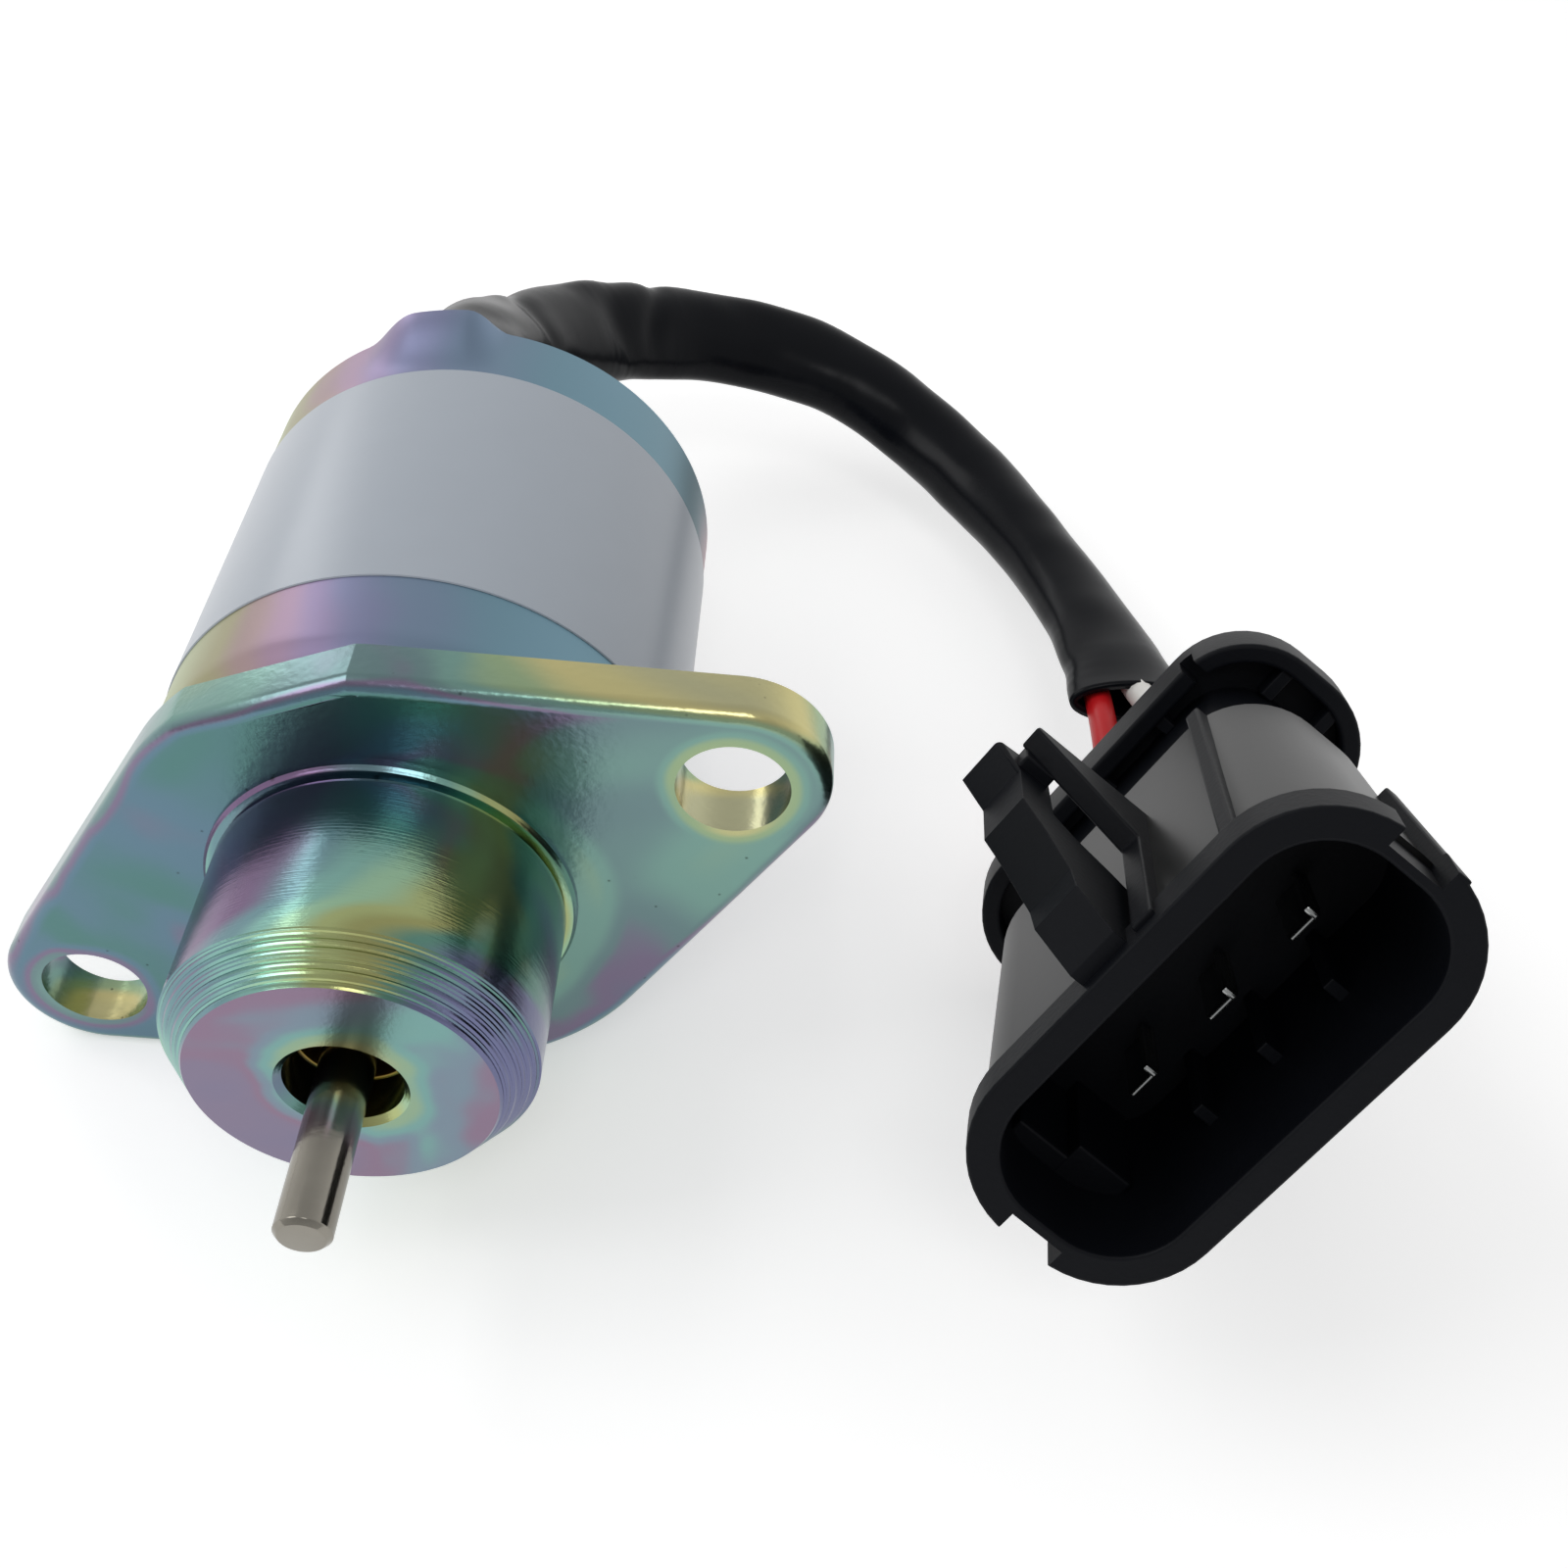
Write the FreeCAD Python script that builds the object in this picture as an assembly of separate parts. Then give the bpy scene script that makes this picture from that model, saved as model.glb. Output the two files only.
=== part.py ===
import FreeCAD, Part
import math
import os

V = FreeCAD.Vector

# Fuel shutoff solenoid, lying on one long side of its flange, nose toward -Y.
# Origin: on the floor under the middle of the solenoid's length. Millimetres, +Z up.
# Solenoid pieces are drawn about their own axis, z = 0 on the flange's front face,
# +z toward the nose. Plug pieces are drawn in plug axes: x along the row of blades,
# y toward the latch, z out of the mouth, z = 0 on the rim.

# Flange
HOLE_PITCH = 54.0
HOLE_R = 3.9
FLANGE_T = 3.9
BOSS_R = 6.7
FLANGE_MID_R = 20.0
FLAT_FROM_AXIS = 18.95
FLAT_ANGLE = 84.0
EDGE_ROLL_R = 0.9

# Nose hub
NOSE_R = 12.45
NOSE_LEN = 16.7
NOSE_CHAMFER_R = 2.3
NOSE_CHAMFER_L = 2.9
BEAD_W = 0.7
BEAD_H = 0.8
SPIGOT_R = 9.0
SPIGOT_LIP = 0.7
BORE_R = 3.95
BORE_LEAD = 0.45
BORE_DEPTH = 3.6
LINER_OUTER_R = 4.7
LINER_R = 3.8
RING_LEN = 1.4
LINER_GAP = 0.35

# Plunger, its guide, stop and return spring
PLUNGER_R = 6.95
PLUNGER_LEN = 24.0
STROKE = 9.5
RUN_CLEAR = 0.05
GUIDE_WALL = 0.45
GUIDE_OVERLAP = 4.0
SHOULDER_Z = 3.0
STOP_T = 0.8
STOP_HOLE_R = 2.4
ROD_R = 1.85
ROD_TIP_Z = 27.7
ROD_CHAMFER = 0.35
ROD_SEAT = 9.0
SPRING_MEAN_R = 2.4
SPRING_WIRE = 0.7
SPRING_TURNS = 9
SPRING_POCKET_R = 3.2
PLUNGER_POCKET = 11.0
CORE_POCKET = 3.0

# Can and magnet
CAN_R = 19.3
CAN_WALL = 1.5
CAN_LEN = 41.5
BACK_PLATE_T = 2.0
BACK_RECESS = 1.5
HOOD_ANGLE = 71.7
HOOD_INSET = 3.3
HOOD_R = 5.1
HOOD_LEN = 8.0
BOBBIN_WALL = 1.0
BOBBIN_CHEEK = 1.4
BOBBIN_CLEAR = 0.1
WINDING_CLEAR = 1.6
PULL_COIL_SHARE = 0.5
TAPE_T = 0.3
WIRE_EXIT_INSET = 5.06
GROMMET_R = 4.2
GROMMET_PROUD = 1.0

# Wrap label
LABEL_FRONT = 12.0
LABEL_REAR = 38.7
LABEL_T = 0.12
LABEL_SEAM = 0.5

# Leads and sleeve
WIRE_D = 2.5
SLEEVE_D = 8.0
SLEEVE_WALL = 0.7
SLEEVE_ROUTE = [
    (-2.8, 37.05, 34.0), (-2.7, 45.2, 32.3), (-1.0, 56.3, 26.4), (10.1, 72.2, 20.1),
    (29.6, 76.5, 16.0), (46.0, 67.6, 9.3), (58.2, 41.5, 9.1), (58.9, 27.1, 12.6),
]
LEAD_OFFSET = 1.62
LEAD_TURN = 15.0
LEAD_TWIST = -4.3
LEAD_INSIDE = 2.75
LEAD_OUTSIDE = 3.0
LEAD_STRAIGHT = 13.0
LEADS = ["red_wire", "black_wire", "white_wire"]

# Plug
PLUG_AT = (53.1, -29.5, 34.3)
PLUG_MOUTH = (-0.140, -0.894, 0.425)
PLUG_LONG = (0.543, 0.290, 0.788)
RIM = (17.4, 8.5, 7.3)
RIM_DEPTH = 3.4
RIM_WALL = 2.1
BODY_FRONT = (16.2, 8.0, 6.8)
BODY_REAR = (15.0, 7.7, 6.2)
BODY_LEN = 28.4
SOCKET_DEPTH = 16.0
SOCKET_DRAFT = 0.5
STEM = (13.2, 6.0, 5.0)
STEM_LEN = 12.0
COLLAR = (17.2, 8.1, 6.8)
COLLAR_Y = 0.6
COLLAR_LEN = 5.6
COLLAR_WALL = 1.5
COLLAR_FLOOR = 3.0
COLLAR_SLOT = (10.7, 11.9)
WEB_T = 1.0
LEAD_HOLE_R = 1.65
BLADE_PITCH = 7.4
BLADE_Y = -1.5
BLADE_W = 2.8
BLADE_T = 0.8
BLADE_TIP_Z = -9.5
BLADE_TAPER = 1.2
BLADE_REAR_Z = -37.0
SEAL_R = 2.9
SEAL_LEN = 5.0
KEYWAY_W = 4.0
KEYWAY_DEPTH = 1.4
RIDGE_PITCH = 5.9
RIDGE_T = 0.9
RIDGE_H = 1.7
FIN_T = 1.0
FIN_LEN = 18.0
FIN_TAPER = 1.1
LATCH_X = (-2.1, 1.75, 2.5, 4.2)
LATCH_TIP_Z = -20.4

HALF_PITCH = HOLE_PITCH / 2
ROLL = math.asin((FLANGE_MID_R - BOSS_R) / HALF_PITCH)
CAN_REAR = -FLANGE_T - CAN_LEN
AXIS_Y = -(-CAN_REAR + GROMMET_PROUD - ROD_TIP_Z) / 2
PLATE_REAR = CAN_REAR + BACK_RECESS
PLATE_FRONT = PLATE_REAR + BACK_PLATE_T
GUIDE_R = PLUNGER_R + RUN_CLEAR
GUIDE_OUTER_R = GUIDE_R + GUIDE_WALL
PLUNGER_FRONT = SHOULDER_Z - STOP_T
PLUNGER_REAR = PLUNGER_FRONT - PLUNGER_LEN
CORE_FRONT = PLUNGER_REAR - STROKE
CAN_INNER_R = CAN_R - CAN_WALL
WINDING_R = CAN_INNER_R - WINDING_CLEAR
HOOD_FROM_AXIS = CAN_R - HOOD_INSET
WIRE_EXIT_R = CAN_R - WIRE_EXIT_INSET
BOBBIN_FRONT = -FLANGE_T - SPIGOT_LIP
BOBBIN_BORE_R = GUIDE_OUTER_R + BOBBIN_CLEAR
BOBBIN_TUBE_R = BOBBIN_BORE_R + BOBBIN_WALL
BORE_FLOOR = NOSE_LEN - BORE_DEPTH


def on_axis(shape):
    """Moves a piece from the solenoid's own axis to its place on the floor."""
    c, s = math.cos(ROLL), math.sin(ROLL)
    place = FreeCAD.Matrix(
        c, -s, 0, 0,
        0, 0, -1, AXIS_Y,
        s, c, 0, FLANGE_MID_R,
        0, 0, 0, 1)
    moved = shape.copy()
    moved.Placement = FreeCAD.Placement(place).multiply(shape.Placement)
    return moved


def plug_place():
    """Where plug axes lie."""
    z = V(*PLUG_MOUTH).normalize()
    y = z.cross(V(*PLUG_LONG)).normalize()
    x = y.cross(z)
    return FreeCAD.Placement(FreeCAD.Matrix(
        x.x, y.x, z.x, PLUG_AT[0],
        x.y, y.y, z.y, PLUG_AT[1],
        x.z, y.z, z.z, PLUG_AT[2],
        0, 0, 0, 1))


def in_plug(shape):
    """Moves a piece from plug axes to its place."""
    moved = shape.copy()
    moved.Placement = plug_place().multiply(shape.Placement)
    return moved


def turned(profile):
    """Solid turned about z from (radius, z) corners."""
    points = [V(r, 0, z) for r, z in profile]
    face = Part.Face(Part.makePolygon(points + points[:1]))
    return face.revolve(V(0, 0, 0), V(0, 0, 1), 360)


def disc(radius, z0, z1, x=0.0, y=0.0):
    """Round bar along z."""
    return Part.makeCylinder(radius, z1 - z0, V(x, y, z0))


def ring(outer, inner, z0, z1):
    """Plain tube along z."""
    return disc(outer, z0, z1).cut(disc(inner, z0, z1))


def block(x0, x1, y0, y1, z0, z1):
    return Part.makeBox(x1 - x0, y1 - y0, z1 - z0, V(x0, y0, z0))


def oblong_wire(half, z):
    """Rounded rectangle at height z; half = (half width, half height, corner radius)."""
    a, b, r = half
    d = r * (1 - math.sqrt(0.5))
    edges = []
    for sx, sy in ((1, 1), (-1, 1), (-1, -1), (1, -1)):
        side = V(sx * a, sy * (b - r), z)
        top = V(sx * (a - r), sy * b, z)
        start, end = (side, top) if sx * sy > 0 else (top, side)
        edges.append(Part.Arc(start, V(sx * (a - d), sy * (b - d), z), end).toShape())
    closed = []
    for i, edge in enumerate(edges):
        following = edges[(i + 1) % 4]
        closed += [edge, Part.makeLine(edge.Vertexes[-1].Point, following.Vertexes[0].Point)]
    return Part.Wire(closed)


def oblong(half, z0, z1, half_far=None):
    """Bar of rounded rectangle section, tapered where half_far is given."""
    if half_far is None:
        return Part.Face(oblong_wire(half, z0)).extrude(V(0, 0, z1 - z0))
    return Part.makeLoft([oblong_wire(half, z0), oblong_wire(half_far, z1)], True, True)


def inset(half, wall):
    return (half[0] - wall, half[1] - wall, half[2] - wall)


def side_profile(points, x0, x1):
    """Plug-side plate from (z, y) corners, between x0 and x1."""
    corners = [V(x0, y, z) for z, y in points]
    return Part.Face(Part.makePolygon(corners + corners[:1])).extrude(V(x1 - x0, 0, 0))


def plan_profile(points, y0, y1):
    """Plug-side plate from (x, z) corners, between y0 and y1."""
    corners = [V(x, y0, z) for x, z in points]
    return Part.Face(Part.makePolygon(corners + corners[:1])).extrude(V(0, y1 - y0, 0))


def mounting_flange():
    """Stamped plate: two bosses joined by tangents to a middle arc, one flat on top."""
    c, s = math.sin(ROLL), math.cos(ROLL)

    def at(x, radius, sx, sy):
        return V(x + sx * c * radius, sy * s * radius, 0)

    right_up = at(HALF_PITCH, BOSS_R, 1, 1)
    right_down = at(HALF_PITCH, BOSS_R, 1, -1)
    mid_down_r = at(0, FLANGE_MID_R, 1, -1)
    mid_down_l = at(0, FLANGE_MID_R, -1, -1)
    left_down = at(-HALF_PITCH, BOSS_R, -1, -1)
    left_up = at(-HALF_PITCH, BOSS_R, -1, 1)
    mid_up_l = at(0, FLANGE_MID_R, -1, 1)
    mid_up_r = at(0, FLANGE_MID_R, 1, 1)
    outline = Part.Wire([
        Part.Arc(right_up, V(HALF_PITCH + BOSS_R, 0, 0), right_down).toShape(),
        Part.makeLine(right_down, mid_down_r),
        Part.Arc(mid_down_r, V(0, -FLANGE_MID_R, 0), mid_down_l).toShape(),
        Part.makeLine(mid_down_l, left_down),
        Part.Arc(left_down, V(-HALF_PITCH - BOSS_R, 0, 0), left_up).toShape(),
        Part.makeLine(left_up, mid_up_l),
        Part.Arc(mid_up_l, V(0, FLANGE_MID_R, 0), mid_up_r).toShape(),
        Part.makeLine(mid_up_r, right_up),
    ])
    plate = Part.Face(outline).extrude(V(0, 0, -FLANGE_T))
    waste = block(FLAT_FROM_AXIS, 2 * FLANGE_MID_R, -FLANGE_MID_R, FLANGE_MID_R, -FLANGE_T, 0)
    waste.rotate(V(0, 0, 0), V(0, 0, 1), FLAT_ANGLE)
    plate = plate.cut(waste).removeSplitter()
    rolled = [e for e in plate.Edges if all(abs(v.Point.z) < 1e-6 for v in e.Vertexes)]
    plate = plate.makeFillet(EDGE_ROLL_R, rolled)
    for x in (-HALF_PITCH, HALF_PITCH):
        plate = plate.cut(disc(HOLE_R, -FLANGE_T, 0, x))
    return plate.cut(disc(SPIGOT_R, -FLANGE_T, 0))


def nose_hub():
    """Turned nose, staked through the flange, with a stepped bore."""
    return turned([
        (BORE_R, BORE_FLOOR),
        (BORE_R, NOSE_LEN - BORE_LEAD),
        (BORE_R + BORE_LEAD, NOSE_LEN),
        (NOSE_R - NOSE_CHAMFER_R, NOSE_LEN),
        (NOSE_R, NOSE_LEN - NOSE_CHAMFER_L),
        (NOSE_R, BEAD_H),
        (NOSE_R + BEAD_W, BEAD_H * 0.6),
        (NOSE_R + BEAD_W, 0),
        (SPIGOT_R, 0),
        (SPIGOT_R, -FLANGE_T),
        (SPIGOT_R + SPIGOT_LIP, -FLANGE_T),
        (SPIGOT_R, BOBBIN_FRONT),
        (GUIDE_OUTER_R, BOBBIN_FRONT),
        (GUIDE_OUTER_R, SHOULDER_Z),
        (LINER_OUTER_R, SHOULDER_Z),
        (LINER_OUTER_R, BORE_FLOOR),
    ])


def bore_ring():
    """Brass ring pressed under the mouth of the bore."""
    return ring(LINER_OUTER_R, LINER_R, BORE_FLOOR - RING_LEN, BORE_FLOOR)


def bore_liner():
    """Longer brass liner behind the ring, down to the plunger's shoulder."""
    return ring(LINER_OUTER_R, LINER_R, SHOULDER_Z, BORE_FLOOR - RING_LEN - LINER_GAP)


def guide_tube():
    """Thin brass tube the plunger slides in; its rear end sits on the fixed core."""
    rear = CORE_FRONT - GUIDE_OVERLAP
    return ring(GUIDE_OUTER_R, GUIDE_R, rear, PLUNGER_FRONT)


def stop_washer():
    """Cushion washer that the plunger rests on when the coil is off."""
    return ring(GUIDE_OUTER_R, STOP_HOLE_R, PLUNGER_FRONT, SHOULDER_Z)


def plunger():
    """Steel plunger, bored for the rod in front and for the spring behind."""
    body = disc(PLUNGER_R, PLUNGER_REAR, PLUNGER_FRONT)
    body = body.cut(disc(ROD_R, PLUNGER_FRONT - ROD_SEAT, PLUNGER_FRONT))
    return body.cut(disc(SPRING_POCKET_R, PLUNGER_REAR, PLUNGER_REAR + PLUNGER_POCKET))


def plunger_rod():
    """Plain pin with a broken edge at its free end."""
    return turned([
        (0, PLUNGER_FRONT - ROD_SEAT),
        (ROD_R, PLUNGER_FRONT - ROD_SEAT),
        (ROD_R, ROD_TIP_Z - ROD_CHAMFER),
        (ROD_R - ROD_CHAMFER, ROD_TIP_Z),
        (0, ROD_TIP_Z),
    ])


def return_spring():
    """Compression spring between the floors of the two pockets, drawn with a six-sided wire."""
    low = CORE_FRONT - CORE_POCKET + SPRING_WIRE / 2
    high = PLUNGER_REAR + PLUNGER_POCKET - SPRING_WIRE / 2
    pitch = (high - low) / SPRING_TURNS
    helix = Part.makeHelix(pitch, high - low, SPRING_MEAN_R)
    wire = Part.Wire(helix.Edges)
    corners = [V(SPRING_MEAN_R + SPRING_WIRE / 2 * math.cos(math.radians(a)), 0,
                 SPRING_WIRE / 2 * math.sin(math.radians(a))) for a in range(0, 360, 60)]
    section = Part.makePolygon(corners + corners[:1])
    coil = wire.makePipeShell([section], True, True)
    coil.translate(V(0, 0, low))
    return coil


def fixed_core():
    """Rear pole that the plunger closes on, with the spring's rear pocket."""
    body = disc(GUIDE_R, PLATE_FRONT, CORE_FRONT)
    return body.cut(disc(SPRING_POCKET_R, CORE_FRONT - CORE_POCKET, CORE_FRONT))


def hood_cone(wall, z0):
    """Flared bulge in the can's rear rim for the leads, less a wall."""
    angle = math.radians(HOOD_ANGLE)
    at = V(HOOD_FROM_AXIS * math.cos(angle), HOOD_FROM_AXIS * math.sin(angle), z0)
    return Part.makeCone(HOOD_R - wall, HOOD_R / 2 - wall, HOOD_LEN, at)


def wire_exit(radius, z0, z1):
    """Round bar where the leads leave the can."""
    angle = math.radians(HOOD_ANGLE)
    return disc(radius, z0, z1, WIRE_EXIT_R * math.cos(angle), WIRE_EXIT_R * math.sin(angle))


def rear_opening():
    """Clear space inside the can's wall, with the hood's share."""
    bowl = disc(CAN_INNER_R, CAN_REAR, -FLANGE_T)
    return bowl.fuse(hood_cone(CAN_WALL * 0.7, CAN_REAR))


def can_housing():
    """Drawn steel can, open at both ends, with a bulged hood at the rear rim."""
    shell = disc(CAN_R, CAN_REAR, -FLANGE_T).fuse(hood_cone(0, CAN_REAR))
    return shell.cut(rear_opening())


def back_plate():
    """Steel disc that closes the magnet at the rear, with a hole for the leads."""
    plate = disc(CAN_INNER_R, PLATE_REAR, PLATE_FRONT)
    return plate.cut(wire_exit(GROMMET_R, PLATE_REAR, PLATE_FRONT))


def rear_potting():
    """Black filling over the back plate, level with the rim and filling the hood."""
    slab = disc(CAN_R + HOOD_R, CAN_REAR, PLATE_REAR)
    return slab.common(rear_opening()).cut(wire_exit(GROMMET_R, CAN_REAR, PLATE_REAR))


def lead_grommet():
    """Rubber plug round the three leads, standing a little out of the filling, with a seat for the sleeve."""
    plug = wire_exit(GROMMET_R, CAN_REAR - GROMMET_PROUD, PLATE_FRONT)
    plug = on_axis(plug)
    start = V(*SLEEVE_ROUTE[0])
    outward = V(*SLEEVE_ROUTE[1]) - start
    seat = V(start.x, AXIS_Y - CAN_REAR + GROMMET_PROUD, start.z)
    plug = plug.cut(Part.makeCylinder(SLEEVE_D / 2, outward.Length, seat, outward))
    for number in range(len(LEADS)):
        route = lead_route(number)
        along = route[1] - route[0]
        plug = plug.cut(Part.makeCylinder(WIRE_D / 2, along.Length, route[0], along))
    return plug


def bobbin():
    """Moulded spool with a cheek at each end."""
    tube = ring(BOBBIN_TUBE_R, BOBBIN_BORE_R, PLATE_FRONT, BOBBIN_FRONT)
    cheek_r = CAN_INNER_R - BOBBIN_CLEAR
    front = ring(cheek_r, BOBBIN_BORE_R, BOBBIN_FRONT - BOBBIN_CHEEK, BOBBIN_FRONT)
    rear = ring(cheek_r, BOBBIN_BORE_R, PLATE_FRONT, PLATE_FRONT + BOBBIN_CHEEK)
    return tube.fuse([front, rear]).cut(wire_exit(GROMMET_R, PLATE_FRONT, PLATE_FRONT + BOBBIN_CHEEK))


def winding(inner, outer):
    """Wound copper between the bobbin's cheeks."""
    return ring(outer, inner, PLATE_FRONT + BOBBIN_CHEEK, BOBBIN_FRONT - BOBBIN_CHEEK)


def wrap_label():
    """Thin bare band round the can, its two ends meeting underneath."""
    band = ring(CAN_R + LABEL_T, CAN_R, -LABEL_REAR, -LABEL_FRONT)
    seam = block(-LABEL_SEAM / 2, LABEL_SEAM / 2, -2 * CAN_R, 0, -LABEL_REAR, -LABEL_FRONT)
    return band.cut(seam)


def lead_route(number):
    """One lead's corners: in the grommet, beside the other two down the sleeve, to its own blade."""
    middle = [V(*p) for p in SLEEVE_ROUTE]
    route = []
    for i, point in enumerate(middle):
        behind = point - middle[max(i - 1, 0)]
        ahead = middle[min(i + 1, len(middle) - 1)] - point
        if behind.Length > 0:
            behind.normalize()
        if ahead.Length > 0:
            ahead.normalize()
        along = (behind + ahead).normalize()
        side = along.cross(V(0, 0, 1)).normalize()
        up = side.cross(along)
        angle = math.radians(LEAD_TURN - 120 * number + LEAD_TWIST * i)
        route.append(point + (side * math.cos(angle) + up * math.sin(angle)) * LEAD_OFFSET)
    route[0] -= (middle[1] - middle[0]).normalize() * LEAD_INSIDE
    route[-1] += (middle[-1] - middle[-2]).normalize() * LEAD_OUTSIDE
    for z in (BLADE_REAR_Z - LEAD_STRAIGHT, BLADE_REAR_Z):
        route.append(plug_place().multVec(V(blade_places()[number], BLADE_Y, z)))
    return route


def cord(name, corners, outer, inner=0.0):
    """Round tube along straight runs joined by tangent arcs; prints its bend radii."""
    edges = []
    radii = []
    at = corners[0]
    for before, corner, after in zip(corners, corners[1:], corners[2:]):
        back, ahead = before - corner, after - corner
        half_turn = (math.pi - back.getAngle(ahead)) / 2
        reach = 0.45 * min(back.Length, ahead.Length)
        radii.append(reach / math.tan(half_turn))
        entry = corner + back.normalize() * reach
        leave = corner + ahead.normalize() * reach
        middle = (back + ahead).normalize()
        sagitta = radii[-1] * (1 / math.cos(half_turn) - 1)
        edges.append(Part.makeLine(at, entry))
        edges.append(Part.Arc(entry, corner + middle * sagitta, leave).toShape())
        at = leave
    edges.append(Part.makeLine(at, corners[-1]))
    path = Part.Wire(edges)
    first = (corners[1] - corners[0]).normalize()
    section = Part.Face(Part.Wire(Part.makeCircle(outer / 2, corners[0], first)))
    area = math.pi * (outer ** 2 - inner ** 2) / 4
    if inner:
        hole = Part.Wire(Part.makeCircle(inner / 2, corners[0], first))
        section = section.cut(Part.Face(hole))
        section = section.Faces[0]
    tube = path.makePipe(section)
    print(name, "length", round(path.Length, 1), "radii", [round(r, 1) for r in radii],
          "volume / (section x length)", round(tube.Volume / (area * path.Length), 4))
    return tube


def blade_places():
    """Middle of each blade along the row."""
    return [-BLADE_PITCH, 0.0, BLADE_PITCH]


def latch():
    """Locking loop: a stepped wide arm and a thin gusset, joined under the thumb block."""
    x0, x1, x2, x3 = LATCH_X
    foot = BODY_REAR[1] - 0.3
    tip = LATCH_TIP_Z
    arm = side_profile([
        (-1.2, foot), (-1.2, 9.5), (-3.9, 12.3), (-5.9, 12.7), (-9.7, 14.9), (-12.0, 16.6), (-17.2, 16.9),
        (tip + 0.4, 18.9), (tip, 18.7), (tip - 0.4, 17.0), (tip, 14.5), (-13.7, 14.0), (-12.4, 12.1),
        (-11.3, 9.2), (-10.4, foot),
    ], x0, x1)
    gusset = side_profile([
        (-1.2, foot), (-1.2, 8.9), (-13.9, 8.9), (tip + 0.7, 17.5), (tip, 17.3), (tip, foot),
    ], x2, x3)
    bridge = block(x1 - 0.2, x2 + 0.2, 14.6, 17.1, tip, tip + 2.6)
    return arm.fuse([gusset, bridge])


def plug_housing():
    """Moulded shroud for the blades, with rim, keyways, fin, latch and ribbed stem."""
    body = oblong(BODY_REAR, -BODY_LEN, -RIM_DEPTH, BODY_FRONT)
    rim = oblong(RIM, -RIM_DEPTH, 0)
    stem_rear = -BODY_LEN - STEM_LEN
    stem = oblong(STEM, stem_rear, -BODY_LEN)
    fin = plan_profile([
        (BODY_REAR[0] - 1, -FIN_LEN), (RIM[0] - FIN_TAPER, -FIN_LEN), (RIM[0], 0), (BODY_REAR[0] - 1, 0),
    ], -KEYWAY_W / 2 - FIN_T, -KEYWAY_W / 2)
    rib = block(9.6, 10.8, BODY_REAR[1] - 1, BODY_FRONT[1] + 0.35, -BODY_LEN, 0)
    shape = body.fuse([rim, stem, fin, rib, latch()])
    mouth = inset(RIM, RIM_WALL)
    floor = inset(mouth, SOCKET_DRAFT)
    shape = shape.cut(oblong(floor, -SOCKET_DEPTH, 0, mouth))
    for side in (-1, 1):
        outer_x = side * RIM[0]
        inner_x = outer_x - side * KEYWAY_DEPTH
        x0, x1 = sorted((outer_x + side, inner_x))
        shape = shape.cut(block(x0, x1, -KEYWAY_W / 2, KEYWAY_W / 2, -RIM_DEPTH, 0))
    keys = [block(-mouth[0], -mouth[0] + 2.8, -5.0, -0.6, -SOCKET_DEPTH, -7.0),
            block(-mouth[0], -mouth[0] + 1.6, -0.6, 3.4, -SOCKET_DEPTH, -7.0)]
    for x in (-RIDGE_PITCH, 0.0, RIDGE_PITCH):
        keys.append(block(x - RIDGE_T / 2, x + RIDGE_T / 2, -mouth[1] - 0.4, -mouth[1] + RIDGE_H, -SOCKET_DEPTH, -8.0))
    shape = shape.fuse(keys)
    for x in blade_places():
        slot = block(x - BLADE_W / 2, x + BLADE_W / 2, BLADE_Y - BLADE_T / 2,
                     BLADE_Y + BLADE_T / 2, BLADE_REAR_Z, -SOCKET_DEPTH)
        bore = disc(SEAL_R, stem_rear, BLADE_REAR_Z + SEAL_LEN, x, BLADE_Y)
        shape = shape.cut(slot.fuse(bore))
    return shape.removeSplitter()


def rear_retainer():
    """Collar over the stem's end: rimmed floor with webs, a slot and a hole for each lead."""
    front = -BODY_LEN - STEM_LEN + COLLAR_LEN - COLLAR_FLOOR
    rear = front - COLLAR_LEN
    floor_z = rear + COLLAR_FLOOR
    rim = oblong(COLLAR, rear, front).cut(oblong(inset(COLLAR, COLLAR_WALL), floor_z, front))
    rim.translate(V(0, COLLAR_Y, 0))
    top = COLLAR_Y + COLLAR[1]
    bottom = COLLAR_Y - COLLAR[1]
    webs = []
    for x in (-6.6, 0.0, 6.6):
        webs.append(block(x - WEB_T / 2, x + WEB_T / 2, STEM[1], top - 1, floor_z, front - 0.4))
        webs.append(block(x - WEB_T / 2, x + WEB_T / 2, bottom + 1, -STEM[1], floor_z, front - 0.4))
    for side in (-1, 1):
        for y in (-2.4, 2.4):
            x0, x1 = sorted((side * STEM[0], side * (COLLAR[0] - 1)))
            webs.append(block(x0, x1, y - WEB_T / 2, y + WEB_T / 2, floor_z, front - 0.4))
    shape = rim.fuse(webs)
    shape = shape.cut(block(COLLAR_SLOT[0], COLLAR_SLOT[1], STEM[1] + 0.6, top + 1, floor_z, front))
    for x in blade_places():
        shape = shape.cut(disc(LEAD_HOLE_R, rear, floor_z, x, BLADE_Y))
    return shape


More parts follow.
